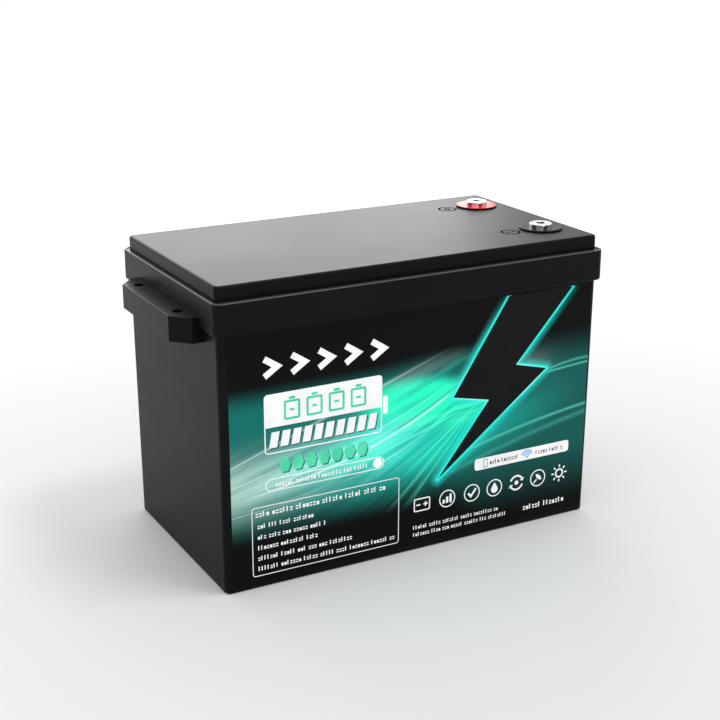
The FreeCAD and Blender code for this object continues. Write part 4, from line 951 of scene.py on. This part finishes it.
def terminal_thread(side):
    """Sleeve down a post's hole with a helical ridge on it, coloured near-black as painted shade."""
    low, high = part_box("terminal_post_" + side)
    middle = (low + high) / 2.0
    root = Vector((0.0, 0.0, THREAD_PITCH * THREAD_ROOT))
    ridge = []
    for step in range(THREAD_TURNS * THREAD_STEPS + 1):
        outward = away_from_axis(step)
        height = high.z - THREAD_START - THREAD_PITCH * step / THREAD_STEPS
        axis = Vector((middle.x, middle.y, height))
        ridge.append((
            axis + outward * BORE_RADIUS + root,
            axis + outward * (BORE_RADIUS - THREAD_RIDGE),
            axis + outward * BORE_RADIUS - root,
        ))
    sleeve = []
    axis = Vector((middle.x, middle.y, high.z))
    for step in range(THREAD_STEPS + 1):
        outward = away_from_axis(step)
        sleeve.append([axis + outward * radius + Vector((0.0, 0.0, depth))
                       for radius, depth in SLEEVE_SECTION])
    shapes = bmesh.new()
    swept(shapes, ridge)
    swept(shapes, sleeve)
    bmesh.ops.remove_doubles(shapes, verts=shapes.verts, dist=WELD_DISTANCE)
    bmesh.ops.recalc_face_normals(shapes, faces=shapes.faces)
    mesh = bpy.data.meshes.new("terminal_thread_" + side)
    shapes.to_mesh(mesh)
    shapes.free()
    return mesh


# ---------------------------------------------------------------- finishes by slot

def slot_finishes():
    """A finish for each of the record's material slots, and one for the threads, near-black as painted
    shade.
    """
    finishes = {name: varied(name, *values) for name, values in PLAIN_FINISHES.items()}
    for name, values in METAL_FINISHES.items():
        finishes[name] = brushed_metal(name, *values)
    finishes["case_black"] = moulded_black("case_black", BLACK_PLASTIC, 0.36, case_sheen)
    finishes["lid_black"] = moulded_black("lid_black", BLACK_PLASTIC, 0.30, lid_sheen)
    finishes["terminal_plating"] = turned_plate("terminal_plating")
    finishes["thread_dark"] = varied("thread_dark", *THREAD_PAINTED_SHADE_FINISH, specular=0.05)
    finishes["disc_red"] = gloss_insert("disc_red", (0.60, 0.006, 0.008), (0.72, 0.010, 0.012), 0.14)
    finishes["disc_black"] = gloss_insert(
        "disc_black", (0.006, 0.006, 0.0065), (0.010, 0.010, 0.011), 0.06)
    finishes["board_epoxy"] = woven_sheet("board_epoxy", (0.60, 0.55, 0.30), (0.76, 0.72, 0.48))
    finishes["board_green"] = circuit_board("board_green")
    finishes["foam_grey"] = foam("foam_grey", (0.045, 0.045, 0.045), (0.13, 0.13, 0.13))
    return finishes


def finish_cad_nodes():
    """Gives each label its film and every other CAD node the finish of its slot."""
    finishes = slot_finishes()
    films = {"front_label": label_film("front_film", 1.0), "rear_label": label_film("rear_film", -1.0)}
    for name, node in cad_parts.items():
        for holder in node.material_slots:
            if name in films:
                holder.material = films[name]
            else:
                holder.material = finishes[holder.material.name.split(".")[0]]
    return finishes


# ---------------------------------------------------------------- camera, floor and light

def heading(azimuth, elevation):
    """Direction of view: azimuth 0 looks along +Y, elevation is how far down it looks."""
    turn = math.radians(azimuth)
    tilt = math.radians(elevation)
    level = math.cos(tilt)
    return Vector((-math.sin(turn) * level, math.cos(turn) * level, -math.sin(tilt)))


def add_camera():
    data = bpy.data.cameras.new("camera")
    data.lens = CAMERA_LENS
    data.sensor_width = SENSOR_WIDTH
    data.clip_start = NEAREST_SEEN
    data.clip_end = FARTHEST_SEEN
    camera = bpy.data.objects.new("camera", data)
    camera.location = CAMERA_PLACE
    view = heading(CAMERA_AZIMUTH, CAMERA_ELEVATION)
    camera.rotation_euler = view.to_track_quat("-Z", "Y").to_euler()
    bpy.context.scene.collection.objects.link(camera)
    bpy.context.scene.camera = camera


def floor_material():
    """Matt paper with a painted soft shadow: a little greyer round the battery than far away from it."""
    material, tree, shader = new_material("studio_floor", specular=0.1)
    x, y, z = place_fields(tree)
    clear_of_painted_shadow = (x * x + y * y).math("SQRT").ramp(0.28, 1.8)
    cloud = noise(tree, joined(tree, x, y, z), 1.5, 2.0)
    grain = noise(tree, joined(tree, x, y, z), 900.0, 2.0)
    # Painted shadow: the floor's colour is darker near the battery and pale far from it
    colour = mixed(tree, clear_of_painted_shadow + cloud * 0.05, (0.67, 0.67, 0.67), (0.98, 0.98, 0.98))
    plug(tree, colour, shader.inputs["Base Color"])
    plug(tree, grain * 0.1 + 0.7, shader.inputs["Roughness"])
    return material


def add_floor():
    mesh = bpy.data.meshes.new("studio_floor")
    corners = [(-FLOOR_HALF, -FLOOR_HALF, 0.0), (FLOOR_HALF, -FLOOR_HALF, 0.0),
               (FLOOR_HALF, FLOOR_HALF, 0.0), (-FLOOR_HALF, FLOOR_HALF, 0.0)]
    mesh.from_pydata(corners, [], [(0, 1, 2, 3)])
    mesh.materials.append(floor_material())
    floor = bpy.data.objects.new("studio_floor", mesh)
    bpy.context.scene.collection.objects.link(floor)


def add_world():
    world = bpy.data.worlds.new("studio")
    world.use_nodes = True
    background = world.node_tree.nodes["Background"]
    background.inputs["Color"].default_value = (*WORLD_WHITE, 1.0)
    background.inputs["Strength"].default_value = WORLD_STRENGTH
    bpy.context.scene.world = world


def add_softbox(name, place, target, width, height, power):
    """Rectangular lamp aimed at a point, which the camera itself doesn't see."""
    data = bpy.data.lights.new(name, "AREA")
    data.shape = "RECTANGLE"
    data.size = width
    data.size_y = height
    data.energy = power
    lamp = bpy.data.objects.new(name, data)
    lamp.location = place
    lamp.rotation_euler = (Vector(target) - Vector(place)).to_track_quat("-Z", "Y").to_euler()
    lamp.visible_camera = False
    bpy.context.scene.collection.objects.link(lamp)


def add_studio():
    add_world()
    add_floor()
    add_softbox("back_softbox", (0.34, 2.3, 1.0), (0.0, 0.0, 0.2), 2.5, 1.4, 28.0)
    add_softbox("front_softbox", (-0.5, -2.4, 0.45), (0.0, 0.0, 0.12), 1.6, 0.6, 4.0)
    add_softbox("edge_strip", (0.55, -0.6, 2.2), (0.0, -0.1, 0.24), 0.7, 0.25, 12.0)
    bpy.context.scene.view_settings.view_transform = "Standard"


# ---------------------------------------------------------------- the scene

add_camera()
add_studio()
finishes = finish_cad_nodes()
add_label_prints()
for polarity in ("positive", "negative"):
    thread = terminal_thread(polarity)
    add_piece(thread.name, thread, finishes["thread_dark"])

bpy.context.view_layer.update()
